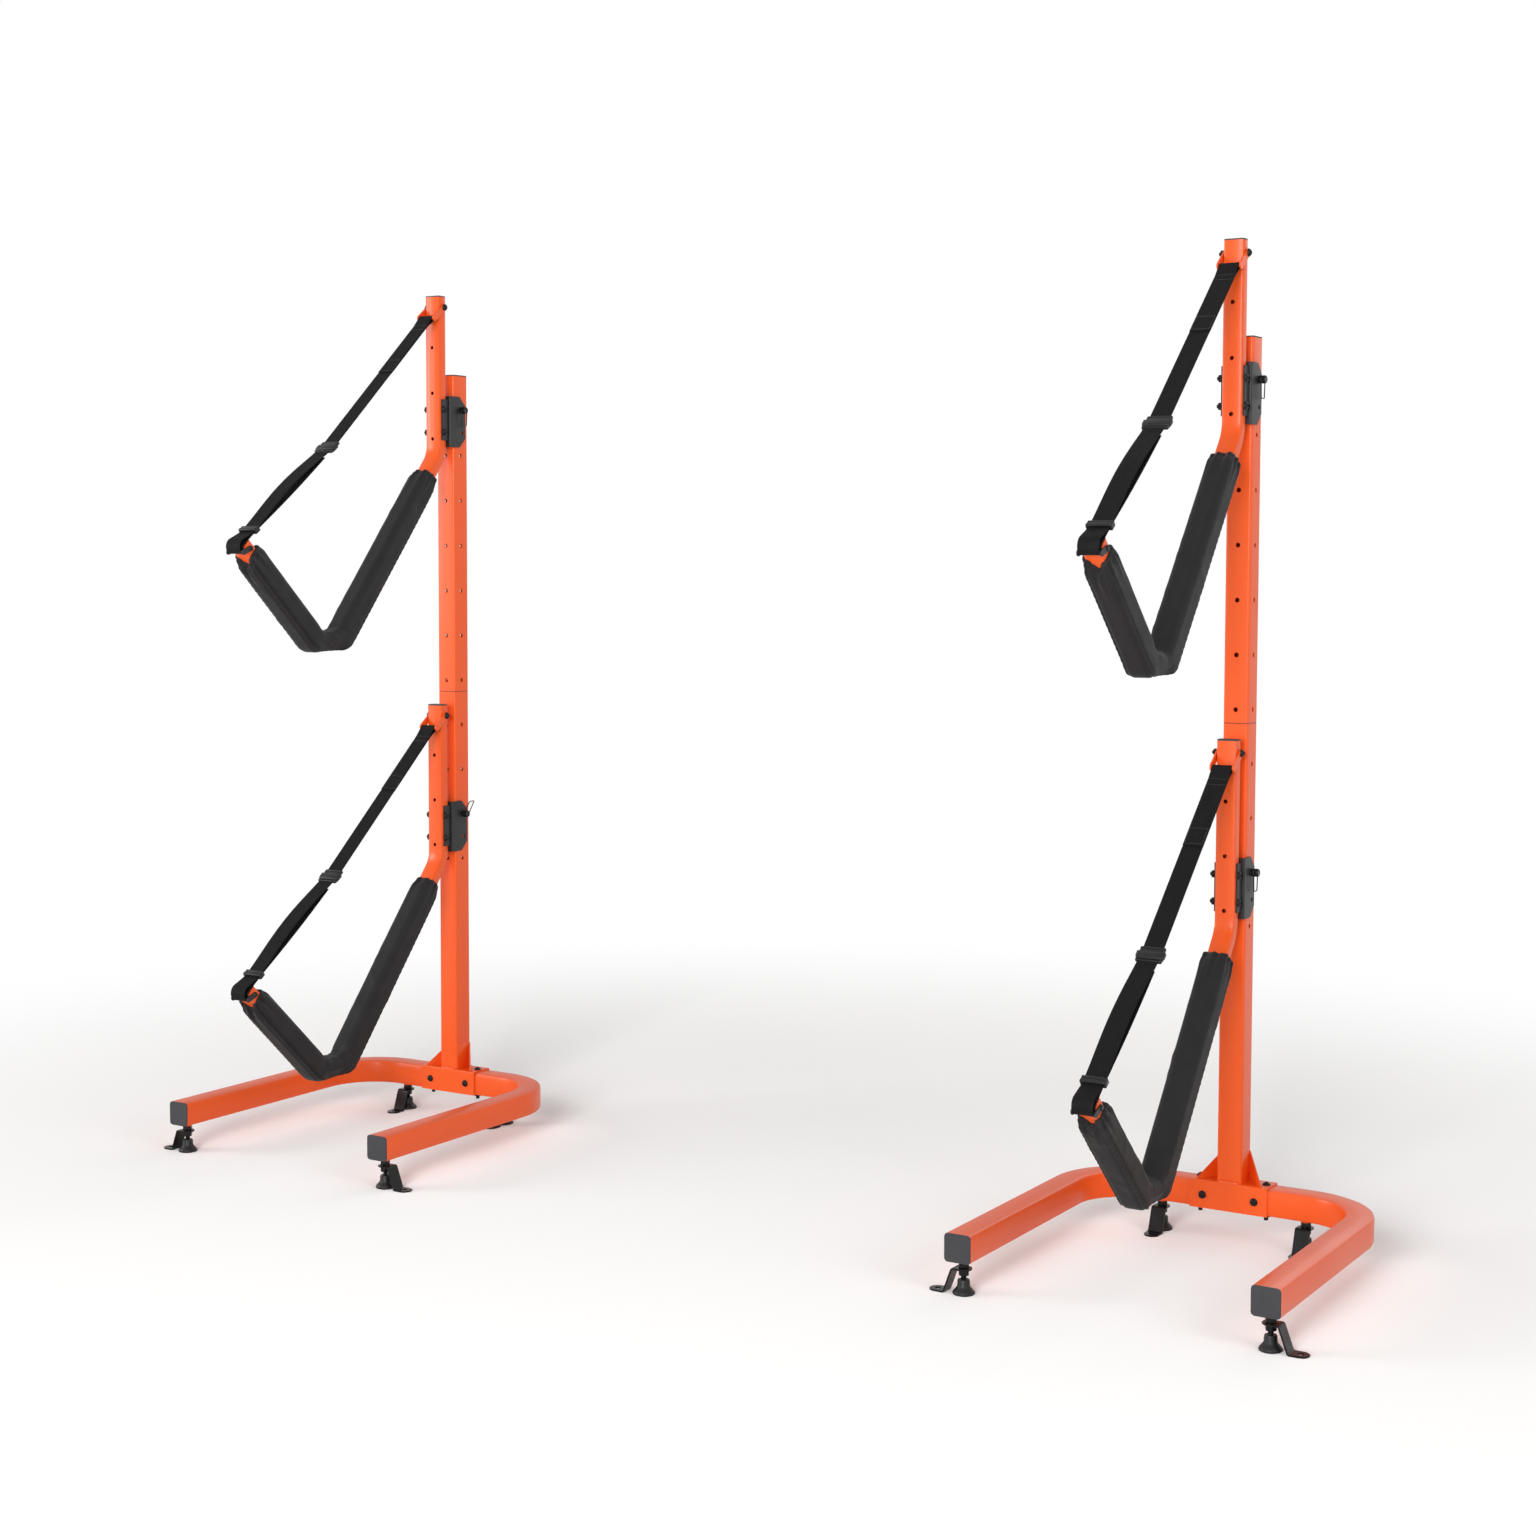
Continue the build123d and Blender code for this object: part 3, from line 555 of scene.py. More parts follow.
def filleted(points: Array, radius: float) -> Array:
    """Round the corners of an open line with arcs.

    Each corner is cut back by radius times the tangent of half its turn, and the arc about the
    centre between the two cuts takes its place.

    Args:
        points: Array of corners by 2.
        radius: Radius of every arc.

    Returns:
        The line's ends and the points of its arcs.
    """
    parts = [points[:1]]
    for before, corner, after in zip(points[:-2], points[1:-1], points[2:]):
        back = (before - corner) / np.linalg.norm(before - corner)
        ahead = (after - corner) / np.linalg.norm(after - corner)
        turn = math.pi - math.acos(float(np.clip(back @ ahead, -1, 1)))
        cut = radius * math.tan(turn / 2)
        middle = (back + ahead) / np.linalg.norm(back + ahead)
        centre = corner + middle * radius / math.cos(turn / 2)
        first = corner + back * cut - centre
        sign = math.copysign(1.0, float(back[1] * ahead[0] - back[0] * ahead[1]))
        angle = sign * np.linspace(0, turn, 17)[:, None]
        across = np.array([-first[1], first[0]])
        parts.append(centre + first * np.cos(angle) + across * np.sin(angle))
    parts.append(points[-1:])
    return np.concatenate(parts)


def outward(line: Array) -> Array:
    """Unit normals of a line in the arm's plane, turned a quarter from its direction."""
    way = np.gradient(line, axis=0)
    way /= np.linalg.norm(way, axis=1, keepdims=True)
    return np.stack([-way[:, 1], way[:, 0]], -1)


def rounded_loop(width: float, depth: float, corner: float, count: int) -> Array:
    """Points of a rounded rectangle at even steps round its edge.

    Args:
        width: Full size along the first axis.
        depth: Full size along the second axis.
        corner: Radius of the corners.
        count: How many points.

    Returns:
        Array of count by 2, from the middle of the first side and turning left.
    """
    angle = np.linspace(0, math.tau, 721)[:-1]
    quarter = np.floor(angle / (math.pi / 2)) * math.pi / 2 + math.pi / 4
    middle = np.stack(
        [
            np.sign(np.cos(quarter)) * (width / 2 - corner),
            np.sign(np.sin(quarter)) * (depth / 2 - corner),
        ],
        -1,
    )
    edge = middle + corner * np.stack([np.cos(angle), np.sin(angle)], -1)
    start = np.array([[width / 2, 0.0]])
    line = np.concatenate([start, edge, start])
    run = np.concatenate([[0.0], np.cumsum(np.linalg.norm(np.diff(line, axis=0), axis=1))])
    marks = np.arange(count) / count * run[-1]
    return np.stack([np.interp(marks, run, line[:, k]) for k in range(2)], -1)


def lathe(profile: Array, origin: Array, axis: Array, steps: int, ripple: Array | None = None) -> Array:
    """Turn a profile about an axis.

    A point at radius r and height h lands at the origin plus h along the axis plus r times the
    cosine and the sine of the angle along the two directions across it.

    Args:
        profile: Array of rows by 2, radius and height.
        origin: Point on the axis.
        axis: Unit direction of the heights.
        steps: Points round the axis.
        ripple: Factors on the radius, as rows by steps.

    Returns:
        Array of rows by steps by 3.
    """
    side = np.cross(axis, [0.0, 0.0, 1.0])
    if np.linalg.norm(side) < 1e-6:
        side = np.array([1.0, 0.0, 0.0])
    side = side / np.linalg.norm(side)
    other = np.cross(axis, side)
    angle = np.arange(steps) / steps * math.tau
    ring = np.cos(angle)[:, None] * side + np.sin(angle)[:, None] * other
    radius = profile[:, :1] * (np.ones((len(profile), steps)) if ripple is None else ripple)
    return origin + profile[:, None, 1:] * axis + radius[:, :, None] * ring[None]


def rounded_block(skin: Skin, centre: Array, axes: Array, halves: Array, radius: float) -> None:
    """Add a block with rounded edges.

    Every point of the box is pulled to the nearest point of a core that is smaller by the
    radius, and pushed out again by the radius.

    Args:
        skin: The skin that gets the block.
        centre: Middle of the block.
        axes: Three unit rows.
        halves: Half sizes along the rows.
        radius: Radius of the edges.
    """
    core = halves - radius
    for k in range(3):
        a, b = (k + 1) % 3, (k + 2) % 3
        spans = []
        for n in (a, b):
            rim = np.linspace(0, radius, 4)
            span = np.concatenate([-halves[n] + rim, halves[n] - rim[::-1]])
            spans.append(span)
        u, v = np.meshgrid(spans[0], spans[1], indexing="ij")
        for sign in (-1.0, 1.0):
            box = np.zeros(u.shape + (3,))
            box[..., k] = sign * halves[k]
            box[..., a] = u
            box[..., b] = v
            near = np.clip(box, -core, core)
            gap = box - near
            size = np.linalg.norm(gap, axis=-1, keepdims=True)
            skin.grid(centre + (near + gap / np.maximum(size, 1e-9) * radius) @ axes)


# Places on the stands


@dataclass(frozen=True)
class Station:
    """Where one arm hangs on its post."""

    side: Side
    level: Level
    x: float
    y: float
    z: float

    @classmethod
    def find(cls, side: Side, level: Level) -> "Station":
        """Read the arm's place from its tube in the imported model.

        Args:
            side: Which stand.
            level: Which cradle.

        Returns:
            The place of the arm's locking pin.
        """
        low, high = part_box(f"{side.value}_{level.value}_arm_tube")
        return cls(side, level, (low.x + high.x) / 2, high.y + 0.043, high.z - 0.2455)

    @property
    def prefix(self) -> str:
        """Start of the names of this arm's nodes."""
        return f"{self.side.value}_{self.level.value}"

    @property
    def body(self) -> str:
        """Body that carries the arm."""
        return f"{self.side.value}_stand"

    def lift(self, across: Array, plane: Array) -> Array:
        """Bring points from the arm's plane into the frame.

        Args:
            across: Distances along X.
            plane: Pairs (y, z) of the same shape, with one more axis.

        Returns:
            Points in the frame.
        """
        return np.stack(
            [self.x + across, self.y + plane[..., 0], self.z + plane[..., 1]], -1
        )


@dataclass(frozen=True)
class ArmLines:
    """The lines of an arm in its own plane."""

    knee: tuple[float, float] = (-0.0555, -0.101)
    heel: tuple[float, float] = (-0.386, -0.506)
    toe: tuple[float, float] = (-0.452, -0.506)
    tip: tuple[float, float] = (-0.667, -0.300)
    bend: float = 0.062
    bar: tuple[float, float] = (-0.08391, 0.19807)
    buckle: tuple[float, float] = (-0.408, -0.098)
    slide: tuple[float, float] = (-0.645, -0.277)

    def at_tip(self, along: float, across: float) -> Array:
        """Point near the tip, from its end along the tube and out of its outer face."""
        way = np.array(self.tip) - np.array(self.toe)
        way /= np.linalg.norm(way)
        return np.array(self.tip) + way * along + np.array([-way[1], way[0]]) * across


LINES = ArmLines()


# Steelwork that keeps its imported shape


@dataclass
class Steelwork:
    """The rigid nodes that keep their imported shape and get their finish."""

    split: float = 38.0

    def soften(self, node: str, finish: Finish) -> None:
        """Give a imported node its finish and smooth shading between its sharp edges.

        Args:
            node: Name of the node.
            finish: Its finish.
        """
        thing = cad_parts[node]
        thing.data.materials.clear()
        thing.data.materials.append(PAINT.get(finish))
        thing.data.polygons.foreach_set(
            "use_smooth", np.ones(len(thing.data.polygons), dtype=bool)
        )
        weld = thing.modifiers.new("weld", "WELD")
        weld.merge_threshold = 1e-6
        edges = thing.modifiers.new("edges", "EDGE_SPLIT")
        edges.split_angle = math.radians(self.split)
        LOG.info("%s: %s", node, finish.name)

    def dress(self) -> None:
        """Finish every rigid node."""
        for side in Side:
            name = side.value
            for part in ("base_tube",):
                self.soften(f"{name}_{part}", ORANGE)
            for part in ("lower_post", "upper_post", "post_spigot"):
                self.soften(f"{name}_{part}", ORANGE_POST)
            for part in ("leg_caps", "top_caps"):
                self.soften(f"{name}_{part}", CAP)
            for part in ("base_bolts", "base_nuts"):
                self.soften(f"{name}_{part}", STEEL)
            for level in Level:
                arm = f"{name}_{level.value}"
                self.soften(f"{arm}_arm_tube", ORANGE)
                self.soften(f"{arm}_strap_shackle", ORANGE)
                self.soften(f"{arm}_post_bracket", BLACK_COAT)
                self.soften(f"{arm}_arm_bolts", STEEL)
                self.soften(f"{arm}_pin_bail", STEEL)


@dataclass
class Fasteners:
    """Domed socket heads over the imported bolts, and the weld beads at a post's foot."""

    side: Side
    head: float = 0.0074
    rise: float = 0.0054
    socket: float = 0.0026

    def dome(self, skin: Skin, origin: Array, axis: Array) -> None:
        """Add a round head with a hexagon socket.

        The profile runs up a short rim, over a quarter ellipse and down into the socket, whose
        radius grows towards its six corners.

        Args:
            skin: The skin that gets the head.
            origin: Middle of the seat.
            axis: Direction out of the seat.
        """
        bow = np.linspace(0, 1, 9)
        rim = np.array([[self.head, -0.0002], [self.head, 0.0012]])
        top = np.stack(
            [
                self.head - (self.head - self.socket) * np.sin(bow * math.pi / 2) ** 1.6,
                0.0012 + (self.rise - 0.0012) * np.sin(bow * math.pi / 2),
            ],
            -1,
        )
        hole = np.array([[self.socket, self.rise - 0.0022], [0.0, self.rise - 0.0026]])
        profile = np.concatenate([rim, top, hole])
        steps = 36
        angle = np.arange(steps) / steps * math.tau
        corner = 1 / np.cos((angle % (math.pi / 3)) - math.pi / 6)
        ripple = np.ones((len(profile), steps))
        ripple[-3:] = corner
        skin.grid(lathe(profile, origin, axis, steps, ripple), wrap_v=True)

    def bead(self, skin: Skin, start: Array, end: Array, out: Array, up: Array, seed: int) -> None:
        """Add a weld bead with its ripples.

        The bead is a quarter-round whose radius rises and falls with each puddle of the weld.

        Args:
            skin: The skin that gets the bead.
            start: First end of the inner corner.
            end: Last end of the inner corner.
            out: Direction away from the wall.
            up: Direction away from the plate.
            seed: Seed of the bead's unevenness.
        """
        length = float(np.linalg.norm(end - start))
        t = np.linspace(0, 1, int(length / 0.0007))
        chance = np.random.default_rng(seed)
        wobble = np.interp(t, np.linspace(0, 1, 14), chance.uniform(-0.0005, 0.0006, 14))
        radius = 0.0037 + 0.0005 * np.abs(np.sin(t * length / 0.0034 * math.pi)) + wobble
        radius *= np.clip(np.minimum(t, 1 - t) * 16, 0.2, 1) ** 0.5
        turn = np.linspace(-0.3, math.pi / 2 + 0.3, 9)
        ring = np.cos(turn)[:, None] * out + np.sin(turn)[:, None] * up
        line = start + (end - start) * t[:, None]
        skin.grid(line[:, None] + radius[:, None, None] * ring[None])

    def build(self) -> None:
        """Build the heads and the beads of one stand."""
        low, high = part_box(f"{self.side.value}_lower_post")
        x = (low.x + high.x) / 2
        y = (low.y + high.y) / 2
        body = f"{self.side.value}_stand"
        skin = Skin()
        for shift in (-0.050, 0.050):
            self.dome(skin, np.array([x + shift, y - 0.02825, 0.085]), np.array([0.0, -1.0, 0.0]))
        for shift in (-0.064, 0.064):
            self.dome(skin, np.array([x + shift, y, 0.113]), np.array([0.0, 0.0, 1.0]))
        for level in Level:
            place = Station.find(self.side, level)
            for dy, dz, half in ((-0.0555, 0.0, 0.0223), (-0.0555, -0.050, 0.0223), (-0.052, 0.223, 0.023)):
                seat = np.array([place.x + half, place.y + dy, place.z + dz])
                self.dome(skin, seat, np.array([1.0, 0.0, 0.0]))
        skin.piece(f"{self.side.value}_bolt_heads", STEEL, body)
        beads = Skin()
        up = np.array([0.0, 0.0, 1.0])
        for n, sign in enumerate((-1.0, 1.0)):
            wall = y + sign * 0.024
            self.bead(
                beads,
                np.array([x - 0.0195, wall, 0.113]),
                np.array([x + 0.0195, wall, 0.113]),
                np.array([0.0, sign, 0.0]),
                up,
                7 + n,
            )
            foot = np.array([x + sign * 0.0245, y + 0.0195, 0.113])
            toe = np.array([x + sign * 0.0600, y - 0.0215, 0.113])
            way = (toe - foot) / np.linalg.norm(toe - foot)
            out = np.array([way[1], -way[0], 0.0]) * (-sign)
            self.bead(beads, foot + out * 0.0014, toe + out * 0.0014, out, up, 21 + n)
        beads.piece(f"{self.side.value}_weld_beads", ORANGE, body)


@dataclass
class LockingPin:
    """Knurled locking pin with a turned head."""

    station: Station
    shaft: float = 0.004
    knob: float = 0.0075
    seat: float = 0.0277

    def build(self) -> None:
        """Turn the pin, with a knurl that deepens round the middle of its head."""
        s, k, r = self.seat, self.knob, self.shaft
        heights = np.array([-0.040, -0.0385, s, s, s + 0.0012, s + 0.0040])
        radii = np.array([r - 0.0015, r, r, k - 0.0010, k, k])
        grip = np.linspace(s + 0.0045, s + 0.0100, 7)
        tail = np.array([s + 0.0106, s + 0.0118, s + 0.0130, s + 0.0126, s + 0.0126])
        rims = np.array([k, k - 0.0003, k - 0.0018, k - 0.0034, 0.0])
        profile = np.stack(
            [
                np.concatenate([[0.0], radii, np.full(7, k), rims]),
                np.concatenate([[-0.040], heights, grip, tail]),
            ],
            -1,
        )
        steps = 96
        angle = np.arange(steps) / steps * math.tau
        ripple = np.ones((len(profile), steps))
        ripple[7:14] = 1 - 0.05 * (0.5 + 0.5 * np.cos(24 * angle))
        place = self.station
        skin = Skin()
        skin.grid(
            lathe(profile, np.array([place.x, place.y, place.z]), np.array([1.0, 0.0, 0.0]), steps, ripple),
            wrap_v=True,
        )
        thing = skin.piece(
            f"{place.prefix}_pin", STEEL, f"{place.prefix}_pin_body"
        )
        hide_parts(f"{place.prefix}_locking_pin")


@dataclass
class Foot:
    """Levelling foot: rubber cone, threaded stud, two hexagon nuts and a folded floor plate."""

    side: Side
    place: Place
    cone: float = 0.0195
    stud: float = 0.005
    pitch: float = 0.0015
    flats: float = 0.017
    half: float = 0.0145
    thick: float = 0.003
    hole: float = 0.050

    @property
    def node(self) -> str:
        """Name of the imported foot."""
        return f"{self.side.value}_foot_{self.place.value}"

    def centre(self) -> Array:
        """Place of the stud's axis on the floor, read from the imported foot.

        The cone fills the box on every side but the one where the plate reaches further.
        """
        low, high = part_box(self.node)
        dx, dy = self.place.way
        x = (low.x + high.x) / 2 if dx == 0 else (low.x + self.cone, high.x - self.cone)[dx < 0]
        y = (low.y + high.y) / 2 if dy == 0 else high.y - self.cone
        return np.array([x, y, 0.0])

    def nut(self, skin: Skin, low: float, high: float, centre: Array) -> None:
        """Add a hexagon nut whose corners are rounded off above and below.

        The radius at an angle is half the flats over the cosine of the turn from the nearest
        flat, and no larger than the chamfer cone at that height.
        """
        steps = 72
        angle = np.arange(steps) / steps * math.tau
        hexagon = self.flats / 2 / np.cos((angle % (math.pi / 3)) - math.pi / 6)
        heights = np.array([low, low, low + 0.0005, low + 0.0012, high - 0.0012, high - 0.0005, high, high])
        limit = np.array([0.0, 0.0086, 0.0092, 0.0102, 0.0102, 0.0092, 0.0086, 0.0])
        radius = np.minimum(hexagon[None], limit[:, None])
        profile = np.stack([np.ones(len(heights)), heights], -1)
        skin.grid(lathe(profile, centre, np.array([0.0, 0.0, 1.0]), steps, radius), wrap_v=True)

    def thread(self, skin: Skin, low: float, high: float, centre: Array) -> None:
        """Add the threaded stud, whose radius falls and rises once in each pitch of its helix."""
        steps = 24
        heights = np.arange(low, high, self.pitch / 5)
        turn = np.arange(steps) / steps
        share = (heights[:, None] / self.pitch - turn[None]) % 1
        radius = self.stud - 0.0008 * np.abs(2 * share - 1)
        radius[[0, -1]] = 0
        profile = np.stack([np.ones(len(heights)), heights], -1)
        skin.grid(lathe(profile, centre, np.array([0.0, 0.0, 1.0]), steps, radius), wrap_v=True)

    def tab(self, at: float, height: float, bore: float, way: float) -> Array:
        """Holed end of the plate: half a disc outward and half a square inward.

        A point lies at the bore or at the outline, in the direction of its angle. The outline
        is at the plate's half width over the larger of the angle's sine and inward cosine.

        Args:
            at: Distance of the hole from the stud.
            height: Height of the plate's middle.
            bore: Radius of the hole.
            way: 1 where the disc points away from the stud's side, else -1.

        Returns:
            Closed ring of 8 rows, with the plate along X.
        """
        steps = 64
        angle = np.arange(steps) / steps * math.tau
        cosine, sine = np.cos(angle), np.sin(angle)
        inward = -cosine * way
        square = np.maximum(np.abs(sine), np.clip(inward, 0, 1))
        outline = np.where(inward <= 0, self.half, self.half / square)
        edge = 0.0004
        soft = np.where(inward > np.abs(sine) - 1e-6, 0.0, edge)
        half = self.thick / 2
        hole = bore + 0 * angle
        rows = (
            (hole + edge, half + 0 * soft),
            (outline - soft, half + 0 * soft),
            (outline, half - soft),
            (outline, soft - half),
            (outline - soft, 0 * soft - half),
            (hole + edge, 0 * soft - half),
            (hole, 0 * soft + edge - half),
            (hole, 0 * soft + half - edge),
        )
        return np.array(
            [np.stack([at + r * cosine, r * sine, height + z], -1) for r, z in rows]
        )

    def fall(self, top: float, low: float) -> Array:
        """Folded strip between the two tabs, closed at both ends.

        Args:
            top: Height of the strip's middle at the stud.
            low: Height of its middle at the floor.

        Returns:
            Rows of 8 points, with the plate along X.
        """
        corners = np.array(
            [[self.half, top], [0.0172, top], [0.0330, low], [self.hole - self.half, low]]
        )
        line = filleted(corners, 0.0030)
        normal = outward(line)
        normal[[0, -1]] = [0.0, 1.0]
        half, edge, wide = self.thick / 2, 0.0004, self.half
        across = np.array([-wide, edge - wide, wide - edge, wide, wide, wide - edge, edge - wide, -wide])
        high = np.array([half - edge, half, half, half - edge, edge - half, -half, -half, edge - half])
        plane = line[:, None] + normal[:, None] * high[None, :, None]
        strip = np.stack([plane[..., 0], across + 0 * plane[..., 0], plane[..., 1]], -1)
        ends = strip[[0, -1]].mean(axis=1, keepdims=True) + 0 * strip[[0, -1]]
        return np.concatenate([ends[:1], strip, ends[1:]])

    def plate(self, skin: Skin, centre: Array) -> None:
        """Add the folded plate: a tab round the stud, a fall with two bends, and a floor tab."""
        dx, dy = self.place.way
        turn = np.array([[dx, dy, 0.0], [-dy, dx, 0.0], [0.0, 0.0, 1.0]])
        top, low = 0.0445, self.thick / 2
        skin.grid(self.tab(0.0, top, 0.0051, -1.0) @ turn + centre, wrap_u=True, wrap_v=True)
        skin.grid(self.tab(self.hole, low, 0.005, 1.0) @ turn + centre, wrap_u=True, wrap_v=True)
        skin.grid(self.fall(top, low) @ turn + centre, wrap_v=True)

    def build(self) -> None:
        """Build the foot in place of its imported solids."""
        centre = self.centre()
        body = f"{self.node}_body"
        c = self.cone
        profile = np.array(
            [
                [0.0, 0.0],
                [c - 0.0016, 0.0],
                [c - 0.0002, 0.0010],
                [c, 0.0030],
                [c - 0.0006, 0.0046],
                [c - 0.0032, 0.0078],
                [c - 0.0058, 0.0107],
                [c - 0.0076, 0.0132],
                [c - 0.0083, 0.0146],
                [c - 0.0088, 0.0240],
                [c - 0.0096, 0.0258],
                [0.0052, 0.0260],
                [0.0048, 0.0240],
            ]
        )
        rubber = Skin()
        rubber.grid(lathe(profile, centre, np.array([0.0, 0.0, 1.0]), 64), wrap_v=True)
        cone = rubber.piece(f"{self.node}_cone", RUBBER, body, 60.0)
        skin = Skin()
        self.thread(skin, 0.022, 0.100, centre)
        self.nut(skin, 0.0331, 0.0429, centre)
        self.nut(skin, 0.0461, 0.0549, centre)
        self.plate(skin, centre)
        steel = skin.piece(f"{self.node}_steel", STEEL, body, 32.0)
        for thing in (cone, steel):
            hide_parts(self.node)


# Straps


@dataclass
class Strap:
    """Webbing of one arm: the sewn upper length and the loop at the arm's tip."""

    station: Station
    width: float = 0.038
    thick: float = 0.0019
    doubled: float = 0.190
    bulge: float = 0.009

    def band(self, skin: Skin, line: Array) -> None:
        """Add webbing along a line.

        The section is a flat strip that thins at its two selvedges, set square to the line.

        Args:
            skin: The skin that gets the band.
            line: Points of the band's middle in the arm's plane.
        """
        line = even(line, 0.0035)
        normal = outward(line)
        u = np.array([-1, -0.985, -0.94, -0.6, -0.2, 0.2, 0.6, 0.94, 0.985, 1.0])
        thin = np.array([0.35, 0.8, 1.0, 0.86, 0.82, 0.82, 0.86, 1.0, 0.8, 0.35])
        across = np.concatenate([u, u[::-1]]) * self.width / 2
        high = np.concatenate([thin, -thin[::-1]]) * self.thick / 2
        plane = line[:, None] + normal[:, None] * high[None, :, None]
        points = self.station.lift(np.broadcast_to(across, plane.shape[:2]), plane)
        run = np.concatenate([[0.0], np.cumsum(np.linalg.norm(np.diff(line, axis=0), axis=1))])
        flat = np.stack(np.broadcast_arrays(across[None], run[:, None]), -1)
        middle = self.station.lift(np.zeros((2, len(across))), np.repeat(line[[0, -1], None], len(across), 1))
        points = np.concatenate([middle[:1], points, middle[1:]])
        flat = np.concatenate([flat[:1], flat, flat[-1:]])
        skin.grid(points, wrap_v=True, flat=flat)

    def upper_line(self) -> Array:
        """Middle line of the upper webbing: down from its sewn end, round the bar and to the buckle."""
        bar, buckle = np.array(LINES.bar), np.array(LINES.buckle)
        way = (buckle - bar) / np.linalg.norm(buckle - bar)
        out = np.array([way[1], -way[0]])
        radius = 0.0035 + 0.0003 + self.thick / 2
        layer = self.thick / 2 + 0.0001
        angle = np.linspace(0, math.pi, 13)[:, None]
        turn = bar + radius * (out * np.cos(angle) - way * np.sin(angle))
        down = bar + way * 0.030 - out * layer
        reach = float(np.linalg.norm(buckle - bar))
        return np.concatenate(
            [
                [bar + way * self.doubled + out * layer],
                [bar + way * 0.030 + out * layer],
                turn,
                [down],
                [bar + way * (self.doubled - 0.004) - out * layer],
                [bar + way * (self.doubled + 0.010) - out * layer * 0.4],
                [bar + way * (reach - 0.008)],
            ]
        )

    def lower_line(self) -> Array:
        """Middle line of the lower webbing: from the buckle, round the tip's bar and back up."""
        buckle, slide = np.array(LINES.buckle), np.array(LINES.slide)
        way = (slide - buckle) / np.linalg.norm(slide - buckle)
        out = np.array([way[1], -way[0]])
        layer = self.thick / 2 + 0.0001
        reach = float(np.linalg.norm(slide - buckle))
        share = np.linspace(0, 1, 21)[:, None]
        front = buckle + way * (0.010 + share * (reach - 0.026))
        front = front + out * (layer + self.bulge * np.sin(share * math.pi) ** 1.3)
        rear = buckle + way * (reach - 0.016 - share * (reach - 0.052))
        rear = rear - out * (layer + 0.0022 * np.sin(share * math.pi))
        angle = np.linspace(0, math.pi, 11)
        radius = 0.003 + 0.0003 + self.thick / 2
        ring = np.array(
            [
                LINES.at_tip(-0.004 - radius * math.sin(a), 0.019 + radius * math.cos(a))
                for a in angle
            ]
        )
        return np.concatenate(
            [
                front,
                [slide + way * 0.003 + out * layer],
                [LINES.at_tip(0.015, 0.004), LINES.at_tip(0.013, 0.0125), LINES.at_tip(0.0075, 0.020)],
                ring,
                [LINES.at_tip(0.0019, 0.0139), LINES.at_tip(0.0046, 0.0085)],
                [slide + way * 0.003 - out * layer],
                rear,
            ]
        )

    def stitches(self) -> None:
        """Sew the doubled end: rows of small raised stitches across and along the webbing."""
        bar, buckle = np.array(LINES.bar), np.array(LINES.buckle)
        way = (buckle - bar) / np.linalg.norm(buckle - bar)
        out = np.array([way[1], -way[0]])
        rows = np.concatenate([np.repeat(d, 11) for d in (0.186, 0.150, 0.044, 0.030)])
        columns = np.tile(np.linspace(-0.016, 0.016, 11), 4)
        runs = np.tile(np.linspace(0.152, 0.184, 10), 2)
        sides = np.repeat([-0.0165, 0.0165], 10)
        turned = np.concatenate([np.zeros(44), np.ones(20)])
        along = np.concatenate([rows, runs])
        across = np.concatenate([columns, sides])
        ring = np.arange(6) / 6 * math.tau
        length = np.array([-1.0, -0.6, 0.6, 1.0])[:, None] * 0.0013
        fat = np.array([0.0, 1.0, 1.0, 0.0])[:, None]
        first = length + 0 * ring
        second = fat * np.cos(ring) * 0.0004
        third = fat * np.sin(ring) * 0.0004
        skin = Skin()
        for a, c, t in zip(along, across, turned):
            x = c + (second if t else first)
            s = a + (first if t else second)
            plane = bar + s[..., None] * way + (self.thick + 0.0002 + third)[..., None] * out
            skin.grid(self.station.lift(x, plane), wrap_v=True)
        skin.piece(f"{self.station.prefix}_stitches", THREAD, self.station.body)

    def build(self) -> None:
        """Build the webbing and its stitches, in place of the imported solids."""
        skin = Skin()
        self.band(skin, smooth(even(self.upper_line(), 0.002), 3))
        self.band(skin, smooth(even(self.lower_line(), 0.002), 5))
        thing = skin.piece(
            f"{self.station.prefix}_webbing", WEBBING, self.station.body, 60.0
        )
        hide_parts(f"{self.station.prefix}_strap_webbing")
        self.stitches()


